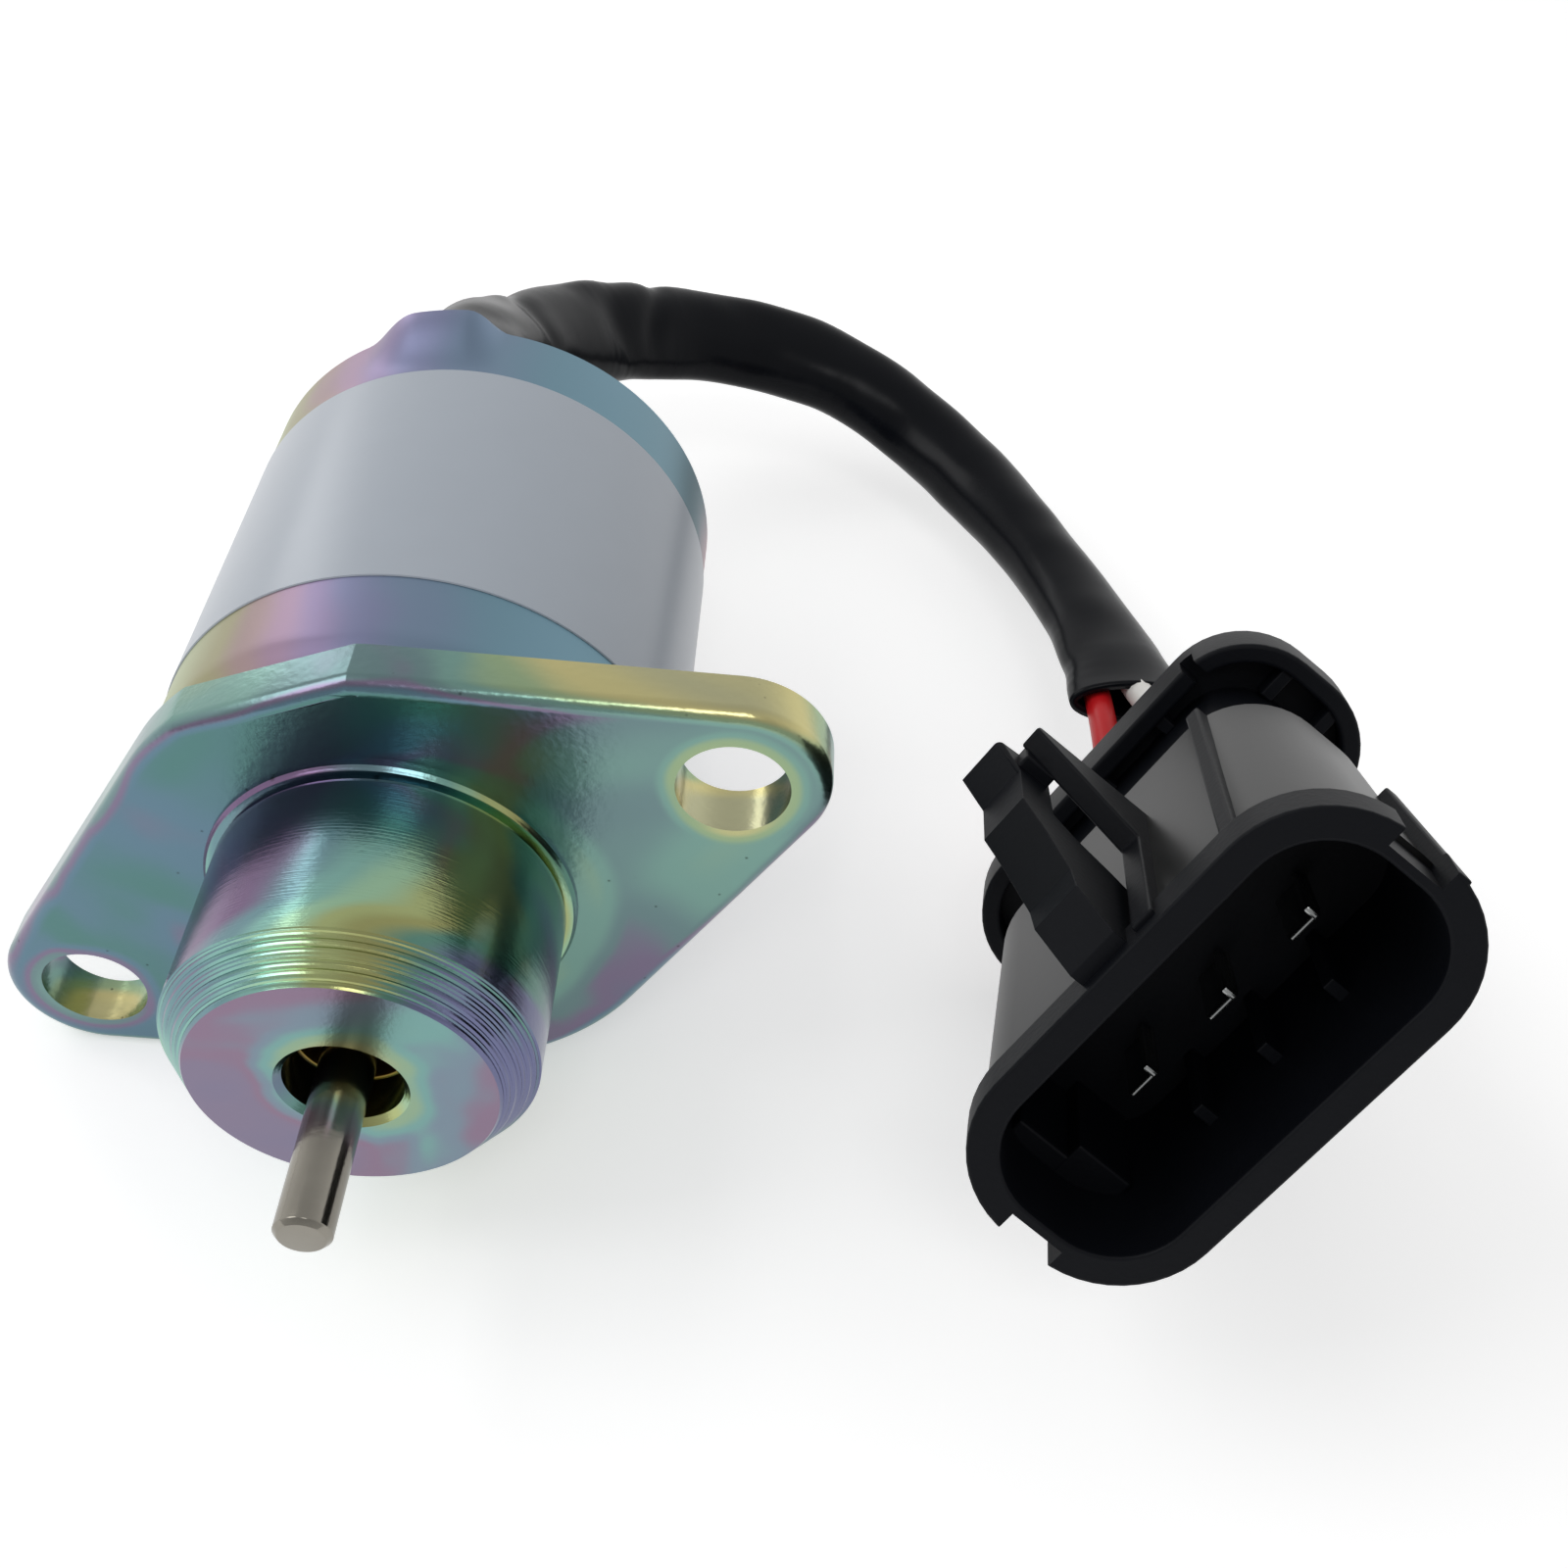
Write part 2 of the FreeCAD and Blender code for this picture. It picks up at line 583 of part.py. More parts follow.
def terminal(x):
    """Male blade with a tapered tip and a crimped tail for its lead."""
    half = BLADE_W / 2
    tip = BLADE_TIP_Z
    corners = [V(x - half, BLADE_Y - BLADE_T / 2, BLADE_REAR_Z + SEAL_LEN),
               V(x + half, BLADE_Y - BLADE_T / 2, BLADE_REAR_Z + SEAL_LEN),
               V(x + half, BLADE_Y - BLADE_T / 2, tip - BLADE_TAPER),
               V(x + half * 0.45, BLADE_Y - BLADE_T / 2, tip),
               V(x - half * 0.45, BLADE_Y - BLADE_T / 2, tip),
               V(x - half, BLADE_Y - BLADE_T / 2, tip - BLADE_TAPER)]
    blade = Part.Face(Part.makePolygon(corners + corners[:1])).extrude(V(0, BLADE_T, 0))
    tail = disc(WIRE_D / 2, BLADE_REAR_Z, BLADE_REAR_Z + SEAL_LEN, x, BLADE_Y)
    return blade.fuse(tail)


def wire_seal(x):
    """Ribbed rubber seal round a lead's crimp in the stem."""
    seal = disc(SEAL_R, BLADE_REAR_Z, BLADE_REAR_Z + SEAL_LEN, x, BLADE_Y)
    for z in (BLADE_REAR_Z + 1.2, BLADE_REAR_Z + 2.9):
        groove = disc(SEAL_R, z, z + 0.8, x, BLADE_Y).cut(disc(SEAL_R - 0.4, z, z + 0.8, x, BLADE_Y))
        seal = seal.cut(groove)
    return seal.cut(disc(WIRE_D / 2, BLADE_REAR_Z, BLADE_REAR_Z + SEAL_LEN, x, BLADE_Y))


def build():
    """All pieces by node name, in place."""
    pull_r = BOBBIN_TUBE_R + PULL_COIL_SHARE * (WINDING_R - BOBBIN_TUBE_R)
    solenoid = {
        "mounting_flange": mounting_flange(),
        "nose_hub": nose_hub(),
        "bore_ring": bore_ring(),
        "bore_liner": bore_liner(),
        "guide_tube": guide_tube(),
        "stop_washer": stop_washer(),
        "plunger": plunger(),
        "plunger_rod": plunger_rod(),
        "return_spring": return_spring(),
        "fixed_core": fixed_core(),
        "back_plate": back_plate(),
        "can_housing": can_housing(),
        "rear_potting": rear_potting(),
        "bobbin": bobbin(),
        "pull_coil": winding(BOBBIN_TUBE_R, pull_r),
        "hold_coil": winding(pull_r, WINDING_R),
        "coil_tape": winding(WINDING_R, WINDING_R + TAPE_T),
        "wrap_label": wrap_label(),
    }
    plug = {"plug_housing": plug_housing(), "rear_retainer": rear_retainer()}
    for number, x in enumerate(blade_places(), 1):
        plug["terminal_" + str(number)] = terminal(x)
        plug["wire_seal_" + str(number)] = wire_seal(x)
    nodes = {name: on_axis(shape) for name, shape in solenoid.items()}
    nodes["lead_grommet"] = lead_grommet()
    nodes.update({name: in_plug(shape) for name, shape in plug.items()})
    for number, name in enumerate(LEADS):
        nodes[name] = cord(name, lead_route(number), WIRE_D)
    sleeve_route = [V(*p) for p in SLEEVE_ROUTE]
    nodes["cable_sleeve"] = cord("cable_sleeve", sleeve_route, SLEEVE_D, SLEEVE_D - 2 * SLEEVE_WALL)
    return nodes


os.makedirs("parts", exist_ok=True)
for node, shape in build().items():
    shape.exportStep("parts/" + node + ".step")
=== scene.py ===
import bpy
import bmesh
import math
from mathutils import Matrix, Vector, noise


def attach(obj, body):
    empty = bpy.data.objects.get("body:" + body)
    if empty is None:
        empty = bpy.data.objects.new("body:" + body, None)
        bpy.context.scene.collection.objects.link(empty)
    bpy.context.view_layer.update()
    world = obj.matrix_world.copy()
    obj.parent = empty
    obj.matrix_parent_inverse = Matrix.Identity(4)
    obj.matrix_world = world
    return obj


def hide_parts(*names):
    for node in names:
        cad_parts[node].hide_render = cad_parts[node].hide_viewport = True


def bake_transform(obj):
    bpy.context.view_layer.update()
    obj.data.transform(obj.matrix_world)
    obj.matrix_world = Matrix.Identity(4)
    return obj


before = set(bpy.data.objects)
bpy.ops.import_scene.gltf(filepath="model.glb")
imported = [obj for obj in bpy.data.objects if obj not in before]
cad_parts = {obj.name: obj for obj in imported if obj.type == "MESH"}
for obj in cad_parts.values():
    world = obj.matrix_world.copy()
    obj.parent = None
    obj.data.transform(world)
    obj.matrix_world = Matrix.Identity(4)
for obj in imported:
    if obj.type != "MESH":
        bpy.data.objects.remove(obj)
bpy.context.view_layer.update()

mm = 0.001

# where the solenoid lies: its own z runs out of the nose, toward -Y of the scene
solenoid = {"holePitch": 54, "holeRadius": 3.9, "bossRadius": 6.7, "midRadius": 20, "axisY": -9.35,
            "flangeThick": 3.9}
roll = math.asin((solenoid["midRadius"] - solenoid["bossRadius"]) / (solenoid["holePitch"] / 2))
solenoidPlace = Matrix((
    (math.cos(roll), -math.sin(roll), 0, 0),
    (0, 0, -1, solenoid["axisY"]),
    (math.sin(roll), math.cos(roll), 0, solenoid["midRadius"]),
    (0, 0, 0, 1)))

# where the plug lies: x along its blades, y toward the latch, z out of its mouth
plug = {"at": (53.1, -29.5, 34.3), "mouth": (-0.140, -0.894, 0.425), "long": (0.543, 0.290, 0.788),
        "bladePitch": 7.4, "bladeY": -1.5, "bladeRear": -37}
plugZ = Vector(plug["mouth"]).normalized()
plugY = plugZ.cross(Vector(plug["long"])).normalized()
plugX = plugY.cross(plugZ)
plugPlace = Matrix.Translation(plug["at"]) @ Matrix((plugX, plugY, plugZ)).transposed().to_4x4()


def linear(hexColour):
    value = hexColour.lstrip("#")
    rgb = [int(value[i:i + 2], 16) / 255 for i in (0, 2, 4)]
    return tuple(c / 12.92 if c <= 0.04045 else ((c + 0.055) / 1.055) ** 2.4 for c in rgb) + (1.0,)


def newMaterial(name):
    material = bpy.data.materials.new(name)
    material.use_nodes = True
    return material, material.node_tree, material.node_tree.nodes["Principled BSDF"]


def addNode(tree, kind, settings=None, **links):
    # settings are node properties or input values, links are inputs joined to another node's output
    node = tree.nodes.new(kind)
    for key, value in (settings or {}).items():
        if isinstance(key, str) and hasattr(node, key):
            setattr(node, key, value)
        else:
            node.inputs[key].default_value = value
    for key, output in links.items():
        socket = node.inputs[int(key[2:])] if key.startswith("in") and key[2:].isdigit() else node.inputs[key]
        tree.links.new(output, socket)
    return node


def setRamp(node, stops, interpolation="LINEAR"):
    ramp = node.color_ramp
    ramp.interpolation = interpolation
    while len(ramp.elements) < len(stops):
        ramp.elements.new(0.5)
    for element, (position, colour) in zip(ramp.elements, stops):
        element.position = position
        element.color = linear(colour) if isinstance(colour, str) else (colour, colour, colour, 1)


def makePiece(name, bm, place, material, nodes=(), body="solenoid", sharp=35):
    # one visible piece: its shape in millimetres, then its place, finish, body and the solid that it stands for
    bmesh.ops.transform(bm, matrix=Matrix.Scale(mm, 4) @ place, verts=bm.verts)
    bmesh.ops.remove_doubles(bm, verts=bm.verts, dist=1e-7)
    bmesh.ops.recalc_face_normals(bm, faces=bm.faces)
    mesh = bpy.data.meshes.new(name)
    bm.to_mesh(mesh)
    bm.free()
    piece = bpy.data.objects.new(name, mesh)
    bpy.context.scene.collection.objects.link(piece)
    piece.data.polygons.foreach_set("use_smooth", [True] * len(piece.data.polygons))
    piece.data.set_sharp_from_angle(angle=math.radians(sharp))
    piece.data.materials.clear()
    piece.data.materials.append(material)
    if body:
        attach(piece, body)
    if nodes:
        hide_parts(*nodes)
    return piece


def bakeModifiers(piece):
    bpy.context.view_layer.update()
    graph = bpy.context.evaluated_depsgraph_get()
    mesh = bpy.data.meshes.new_from_object(piece.evaluated_get(graph))
    old = piece.data
    piece.modifiers.clear()
    piece.data = mesh
    bpy.data.meshes.remove(old)


def joinInto(bm, other):
    # adds another bmesh's faces to bm
    mesh = bpy.data.meshes.new("part")
    other.to_mesh(mesh)
    other.free()
    bm.from_mesh(mesh)
    bpy.data.meshes.remove(mesh)


def boolean(bm, other, operation, tangled=False):
    # joins or cuts two closed bmeshes and gives back one
    things = []
    for name, source in (("whole", bm), ("tool", other)):
        bmesh.ops.recalc_face_normals(source, faces=source.faces)
        mesh = bpy.data.meshes.new(name)
        source.to_mesh(mesh)
        source.free()
        thing = bpy.data.objects.new(name, mesh)
        bpy.context.scene.collection.objects.link(thing)
        things.append(thing)
    whole, tool = things
    joint = whole.modifiers.new("joint", "BOOLEAN")
    joint.operation = operation
    joint.solver = "EXACT"
    joint.use_self = tangled
    joint.object = tool
    bakeModifiers(whole)
    result = bmesh.new()
    result.from_mesh(whole.data)
    for thing in things:
        mesh = thing.data
        bpy.data.objects.remove(thing)
        bpy.data.meshes.remove(mesh)
    return result


def lathe(corners, steps=144, rounding=0.0):
    # turns a closed outline of (radius, z) corners about z
    bm = bmesh.new()
    face = bm.faces.new([bm.verts.new((r, 0, z)) for r, z in corners])
    if rounding:
        bmesh.ops.bevel(bm, geom=[v for v in bm.verts if v.co.x > 1e-6], offset=rounding, affect="VERTICES",
                        segments=3, profile=0.5, material=-1, clamp_overlap=True)
    bmesh.ops.delete(bm, geom=bm.faces[:], context="FACES_ONLY")
    axisEdges = [e for e in bm.edges if all(v.co.x < 1e-6 for v in e.verts)]
    bmesh.ops.delete(bm, geom=axisEdges, context="EDGES")
    bmesh.ops.spin(bm, geom=bm.verts[:] + bm.edges[:], cent=(0, 0, 0), axis=(0, 0, 1),
                   angle=math.tau, steps=steps, use_merge=True)
    bmesh.ops.remove_doubles(bm, verts=bm.verts, dist=1e-5)
    return bm


# fitted to the photo; the image measures are in its pixels
camera = {"at": (23.54, -92.27, 114.93), "right": (0.9955, 0.0245, 0.0915),
          "look": (0.046, 0.7193, -0.6932), "focalPixels": 1780.8, "centre": (831.9, 794.05), "image": 1600}
cameraData = bpy.data.cameras.new("camera")
cameraObject = bpy.data.objects.new("camera", cameraData)
bpy.context.scene.collection.objects.link(cameraObject)
back = -Vector(camera["look"]).normalized()
side = Vector(camera["right"]).normalized()
above = back.cross(side)
turn = Matrix((side, above, back)).transposed().to_4x4()
cameraObject.matrix_world = Matrix.Translation(Vector(camera["at"]) * mm) @ turn
cameraData.sensor_width = 36
cameraData.lens = 36 * camera["focalPixels"] / camera["image"]
cameraData.shift_x = (camera["image"] / 2 - camera["centre"][0]) / camera["image"]
cameraData.shift_y = (camera["centre"][1] - camera["image"] / 2) / camera["image"]
cameraData.clip_start = 0.005
cameraData.clip_end = 20
bpy.context.scene.camera = cameraObject
bpy.context.scene.view_settings.view_transform = "Standard"

light = {"sky": 0.5, "nearSide": 0.58, "key": 1.3, "fill": 0.5, "edge": 0.22, "aim": (0.02, 0, 0.02),
         "floorColour": "#F4F4F4", "floorGlow": 0.42, "floorRadius": 2.0}


def seenByEye(tree):
    # 1 for camera, glossy and transmission rays, 0 for the light that falls on a surface
    path = addNode(tree, "ShaderNodeLightPath")
    either = {"operation": "MAXIMUM"}
    direct = addNode(tree, "ShaderNodeMath", either,
                     in0=path.outputs["Is Camera Ray"], in1=path.outputs["Is Glossy Ray"])
    return addNode(tree, "ShaderNodeMath", either, in0=direct.outputs[0], in1=path.outputs["Is Transmission Ray"])


world = bpy.data.worlds.new("studio")
bpy.context.scene.world = world
world.use_nodes = True
tree = world.node_tree
tree.nodes.clear()
seen = seenByEye(tree)
coords = addNode(tree, "ShaderNodeTexCoord")
height = addNode(tree, "ShaderNodeSeparateXYZ", in0=coords.outputs["Generated"])
skyRamp = addNode(tree, "ShaderNodeValToRGB", in0=height.outputs["Z"])
setRamp(skyRamp, [(0.0, 1.0), (0.3, 1.0), (0.65, 0.75), (1.0, 0.6)])
# the side behind the camera is a little dimmer, so that bright metal keeps some contrast
nearSide = addNode(tree, "ShaderNodeMapRange",
                   {"From Min": -0.75, "From Max": -0.1, "To Min": light["nearSide"], "To Max": 1.0,
                    "interpolation_type": "SMOOTHSTEP"}, Value=height.outputs["Y"])
room = addNode(tree, "ShaderNodeMath", {"operation": "MULTIPLY"},
               in0=skyRamp.outputs["Color"], in1=nearSide.outputs[0])
sky = addNode(tree, "ShaderNodeBackground", {"Color": (1, 1, 1, 1), "Strength": light["sky"]})
backdrop = addNode(tree, "ShaderNodeBackground", {"Strength": 1.0}, Color=room.outputs[0])
both = addNode(tree, "ShaderNodeMixShader", in0=seen.outputs[0], in1=sky.outputs[0], in2=backdrop.outputs[0])
addNode(tree, "ShaderNodeOutputWorld", in0=both.outputs[0])


def areaLamp(name, at, size, watts):
    lamp = bpy.data.lights.new(name, "AREA")
    lamp.shape = "RECTANGLE"
    lamp.size, lamp.size_y = size
    lamp.energy = watts
    thing = bpy.data.objects.new(name, lamp)
    bpy.context.scene.collection.objects.link(thing)
    thing.location = at
    thing.rotation_euler = (Vector(light["aim"]) - Vector(at)).to_track_quat("-Z", "Y").to_euler()


areaLamp("keyLamp", (-0.46, -0.04, 0.58), (0.45, 0.35), light["key"])
areaLamp("fillLamp", (0.05, -0.42, 0.66), (0.22, 0.16), light["fill"])
areaLamp("edgeLamp", (-0.42, 0.52, 0.28), (0.09, 0.4), light["edge"])

floorMesh = bmesh.new()
bmesh.ops.create_circle(floorMesh, cap_ends=True, radius=light["floorRadius"], segments=64)
floorData = bpy.data.meshes.new("floor")
floorMesh.to_mesh(floorData)
floorMesh.free()
floor = bpy.data.objects.new("floor", floorData)
bpy.context.scene.collection.objects.link(floor)
floorPaint, tree, shader = newMaterial("paleFloor")
shader.inputs["Base Color"].default_value = linear(light["floorColour"])
shader.inputs["Roughness"].default_value = 0.9
shader.inputs["Specular IOR Level"].default_value = 0.1
glow = addNode(tree, "ShaderNodeEmission", {"Color": (1, 1, 1, 1), "Strength": light["floorGlow"]})
plain = addNode(tree, "ShaderNodeAddShader", in0=shader.outputs[0], in1=glow.outputs[0])
glowSeen = addNode(tree, "ShaderNodeMixShader", in0=seenByEye(tree).outputs[0], in1=shader.outputs[0],
                   in2=plain.outputs[0])
tree.links.new(glowSeen.outputs[0], tree.nodes["Material Output"].inputs["Surface"])
floorData.materials.append(floorPaint)
print("stage: camera, light and floor ready")


def speckBump(tree, shader, coordinates, scale, strength, distance):
    grain = addNode(tree, "ShaderNodeTexNoise", {"Scale": scale, "Detail": 3.0}, Vector=coordinates)
    bump = addNode(tree, "ShaderNodeBump", {"Strength": strength, "Distance": distance}, Height=grain.outputs["Fac"])
    tree.links.new(bump.outputs["Normal"], shader.inputs["Normal"])
    return bump


def zincByAngle():
    # drawn steel, zinc plated and yellow passivated: colour bands run round the can by angle, partly the thin film's
    # colours and partly painted reflection laid on as fixed bands
    material, tree, shader = newMaterial("passivatedZincDrawnCan")
    coords = addNode(tree, "ShaderNodeTexCoord")
    centred = addNode(tree, "ShaderNodeMapping", {"Location": (0, 0, -solenoid["midRadius"] * mm)},
                      Vector=coords.outputs["Object"])
    parts = addNode(tree, "ShaderNodeSeparateXYZ", in0=centred.outputs[0])
    angle = addNode(tree, "ShaderNodeMath", {"operation": "ARCTAN2"}, in0=parts.outputs["Z"], in1=parts.outputs["X"])
    share = addNode(tree, "ShaderNodeMath", {"operation": "MULTIPLY", 1: 1 / math.tau}, in0=angle.outputs[0])
    wave = addNode(tree, "ShaderNodeTexNoise", {"Scale": 55.0, "Detail": 2.0, "Roughness": 0.4},
                   Vector=coords.outputs["Object"])
    drift = addNode(tree, "ShaderNodeMath", {"operation": "MULTIPLY_ADD", 1: 0.12, 2: 0.45}, in0=wave.outputs["Fac"])
    place = addNode(tree, "ShaderNodeMath", {"operation": "ADD"}, in0=share.outputs[0], in1=drift.outputs[0])
    # the angle round the can picks each band: film colour with painted reflection, lighter and darker
    filmAndPaintedLight = addNode(tree, "ShaderNodeValToRGB", in0=place.outputs[0])
    setRamp(filmAndPaintedLight, [(0.03, "#97A07C"), (0.22, "#7F9494"), (0.42, "#66787F"), (0.50, "#A98A92"), (0.545, "#5F7C86"),
                   (0.62, "#6A8A97"), (0.70, "#6F8F9E"), (0.755, "#77899F"), (0.785, "#7E82A0"), (0.81, "#887C9A"),
                   (0.835, "#957E92"), (0.86, "#9B8686"), (0.885, "#989473"), (0.93, "#A3AC84")], "EASE")
    tree.links.new(filmAndPaintedLight.outputs["Color"], shader.inputs["Base Color"])
    shader.inputs["Metallic"].default_value = 1.0
    shader.inputs["Roughness"].default_value = 0.38
    speckBump(tree, shader, coords.outputs["Object"], 2400.0, 0.12, 0.00003)
    return material


def zincByStain(name, stops, scale, roughness, grain, haloAt=(), upward=0.0, sweep=0.0, turned=0.0, relief=0.00004,
                pits=0.0):
    # zinc plate with a yellow passivate: film colours drift in patches, change round holes and on edges; upward and
    # sweep shift them by the way a face turns, which paints sheen and highlights on top of the film
    material, tree, shader = newMaterial(name)
    coords = addNode(tree, "ShaderNodeTexCoord")
    patch = addNode(tree, "ShaderNodeTexNoise", {"Scale": scale, "Detail": 3.0, "Roughness": 0.45, "Distortion": 0.4},
                    Vector=coords.outputs["Object"])
    field = patch.outputs["Fac"]
    # each spot shifts the colour round a point; the callers use them for film round holes and for one painted highlight
    for (x, y, z), radius, amount in haloAt:
        apart = addNode(tree, "ShaderNodeVectorMath", {"operation": "DISTANCE", 1: (x, y, z)},
                        in0=coords.outputs["Object"])
        near = addNode(tree, "ShaderNodeMapRange",
                       {"From Min": radius[0], "From Max": radius[1], "To Min": amount, "To Max": 0.0,
                        "interpolation_type": "SMOOTHSTEP"}, Value=apart.outputs["Value"])
        total = addNode(tree, "ShaderNodeMath", {"operation": "ADD"}, in0=field, in1=near.outputs[0])
        field = total.outputs[0]
    # painted light: faces that look up or turn to one side get a shifted colour, a painted sheen or highlight
    if upward or sweep:
        facing = addNode(tree, "ShaderNodeSeparateXYZ", in0=coords.outputs["Normal"])
        for axis, amount in (("Z", upward), ("X", sweep)):
            lean = addNode(tree, "ShaderNodeMath", {"operation": "MULTIPLY", 1: amount}, in0=facing.outputs[axis])
            total = addNode(tree, "ShaderNodeMath", {"operation": "ADD"}, in0=field, in1=lean.outputs[0])
            field = total.outputs[0]
    filmAndPaintedLight = addNode(tree, "ShaderNodeValToRGB", in0=field)
    setRamp(filmAndPaintedLight, stops, "EASE")
    skin = filmAndPaintedLight.outputs["Color"]
    if pits:
        # dark pores, small beside their cells; pits is the number of cells to the metre
        pore = addNode(tree, "ShaderNodeTexVoronoi", {"Scale": pits}, Vector=coords.outputs["Object"])
        whole = addNode(tree, "ShaderNodeMapRange", {"From Min": 0.02, "From Max": 0.06, "To Min": 0.35, "To Max": 1.0},
                        Value=pore.outputs["Distance"])
        spotted = addNode(tree, "ShaderNodeMix", {"data_type": "RGBA"}, in0=whole.outputs[0], in7=skin)
        spotted.inputs[6].default_value = linear("#1E1F1D")
        skin = spotted.outputs[2]
    tree.links.new(skin, shader.inputs["Base Color"])
    shader.inputs["Metallic"].default_value = 1.0
    shader.inputs["Roughness"].default_value = roughness
    bump = speckBump(tree, shader, coords.outputs["Object"], grain, 0.25, relief)
    if turned:
        # fine lines left by the tool, one after another along the axis
        along = addNode(tree, "ShaderNodeMapping", {"Scale": (0, 1, 0)}, Vector=coords.outputs["Object"])
        lines = addNode(tree, "ShaderNodeTexNoise", {"Scale": turned, "Detail": 2.0}, Vector=along.outputs[0])
        fine = addNode(tree, "ShaderNodeBump", {"Strength": 0.35, "Distance": 0.00004}, Height=lines.outputs["Fac"],
                       Normal=bump.outputs["Normal"])
        tree.links.new(fine.outputs["Normal"], shader.inputs["Normal"])
    return material


def plainMetal(name, colour, roughness, grain=3000.0, strength=0.1):
    # bare or plated metal with a faint grain from drawing or grinding
    material, tree, shader = newMaterial(name)
    coords = addNode(tree, "ShaderNodeTexCoord")
    cloud = addNode(tree, "ShaderNodeTexNoise", {"Scale": 400.0, "Detail": 3.0}, Vector=coords.outputs["Object"])
    tint = addNode(tree, "ShaderNodeMix", {"data_type": "RGBA"}, Factor=cloud.outputs["Fac"])
    shade = linear(colour)
    tint.inputs[6].default_value = tuple(c * 0.85 for c in shade[:3]) + (1,)
    tint.inputs[7].default_value = tuple(min(c * 1.12, 1) for c in shade[:3]) + (1,)
    tree.links.new(tint.outputs[2], shader.inputs["Base Color"])
    shader.inputs["Metallic"].default_value = 1.0
    shader.inputs["Roughness"].default_value = roughness
    speckBump(tree, shader, coords.outputs["Object"], grain, strength, 0.00003)
    return material


def moulding(name, colour, roughness, grain=1800.0, strength=0.15, level=0.5, cloudy=0.2):
    # moulded plastic or rubber with the fine skin that its tool leaves
    material, tree, shader = newMaterial(name)
    coords = addNode(tree, "ShaderNodeTexCoord")
    cloud = addNode(tree, "ShaderNodeTexNoise", {"Scale": 300.0, "Detail": 4.0}, Vector=coords.outputs["Object"])
    tint = addNode(tree, "ShaderNodeMix", {"data_type": "RGBA"}, Factor=cloud.outputs["Fac"])
    shade = linear(colour)
    tint.inputs[6].default_value = tuple(c * (1 - cloudy) for c in shade[:3]) + (1,)
    tint.inputs[7].default_value = tuple(min(c * (1 + cloudy), 1) for c in shade[:3]) + (1,)
    tree.links.new(tint.outputs[2], shader.inputs["Base Color"])
    shader.inputs["Roughness"].default_value = roughness
    shader.inputs["Specular IOR Level"].default_value = level
    speckBump(tree, shader, coords.outputs["Object"], grain, strength, 0.00004)
    return material


axisY = solenoid["axisY"] * mm
axisZ = solenoid["midRadius"] * mm
holeAt = solenoid["holePitch"] / 2 * mm
holeSpots = [(side * holeAt * math.cos(roll), axisY, axisZ + side * holeAt * math.sin(roll)) for side in (-1, 1)]
canZinc = zincByAngle()
noseEnd = (0, axisY - 0.0167, axisZ)
# stamped steel plate, plated: satin, with a rainbow film that turns yellow round holes; faces that look up are painted
# paler and yellower, partly film and partly a painted sheen from the light above
plateZinc = zincByStain(
    "passivatedZincStampedPlate",
    [(0.18, "#557B6C"), (0.34, "#577F7C"), (0.43, "#627E8E"), (0.50, "#7C7189"), (0.55, "#6D8688"),
     (0.63, "#789C93"), (0.71, "#94AA86"), (0.79, "#C4BC86"), (0.9, "#AFAE8C")], 34.0, 0.24, 1500.0,
    haloAt=[(spot, (0.0040, 0.0055), 0.13) for spot in holeSpots]
    # the second spot here, just above the hub, is a painted highlight: a pale glow on the plate's face
    + [((0.002, axisY, axisZ), (0.0125, 0.0150), 0.10), ((0.002, axisY, axisZ + 0.0145), (0.001, 0.006), 0.12)],
    # upward paints the faces that look up paler: a painted sheen on top of the film
    upward=0.27, relief=0.00009, pits=420.0)
# turned steel, plated: brighter than the plate, with fine rings from the tool; its colour runs across the barrel from
# side to side, partly film and partly painted reflection, and the pale cyan band in the middle is a painted highlight
noseZinc = zincByStain(
    "passivatedZincTurnedNose",
    [(0.20, "#76617F"), (0.34, "#6F8F96"), (0.44, "#85B2A8"), (0.53, "#9DC2A2"), (0.61, "#A9B37C"),
     (0.69, "#9C9D68"), (0.78, "#5F8A7C"), (0.9, "#6D7090")],
    # sweep turns the colour with the way the barrel faces, left to right: painted reflection and highlight on top of
    # the film
    40.0, 0.19, 2500.0, haloAt=[(noseEnd, (0.0127, 0.0137), 0.14)], sweep=0.34, turned=7000.0, pits=210.0)
# faced end of the nose: pink to blue film, greener round the bore
faceZinc = zincByStain(
    "passivatedZincFacedEnd",
    [(0.30, "#777690"), (0.46, "#82788E"), (0.54, "#887489"), (0.62, "#798A98"), (0.70, "#76A09C"),
     (0.78, "#8DA88C"), (0.9, "#B5AE78")],
    60.0, 0.26, 3000.0, haloAt=[(noseEnd, (0.0042, 0.0070), 0.20)])
# metals: plain brass bands, a bright ground pin, dull machined parts, drawn wire, enamelled copper, tinned sheet
brass = plainMetal("turnedBrass", "#C9A85C", 0.28)
groundSteel = plainMetal("nickelledGroundPin", "#8E8A81", 0.17, 2200.0, 0.3)
darkSteel = plainMetal("machinedSteel", "#8D8F92", 0.35)
springSteel = plainMetal("drawnSpringWire", "#77797C", 0.3)
copper = plainMetal("enamelledCopper", "#B5673A", 0.35)
tinned = plainMetal("tinnedSheet", "#9C9E9E", 0.25)
# glass-filled nylon: black and dull where the mould was eroded, with a soft sheen where it was polished
nylon = moulding("sparkErodedNylonSkin", "#090B10", 0.5, 2400.0, 0.45, level=0.12)
nylonGloss = moulding("polishedNylonSide", "#0C0D0D", 0.36, 900.0, 0.08, level=0.27)
nylonDark = moulding("bobbinNylon", "#2A2B2D", 0.5)
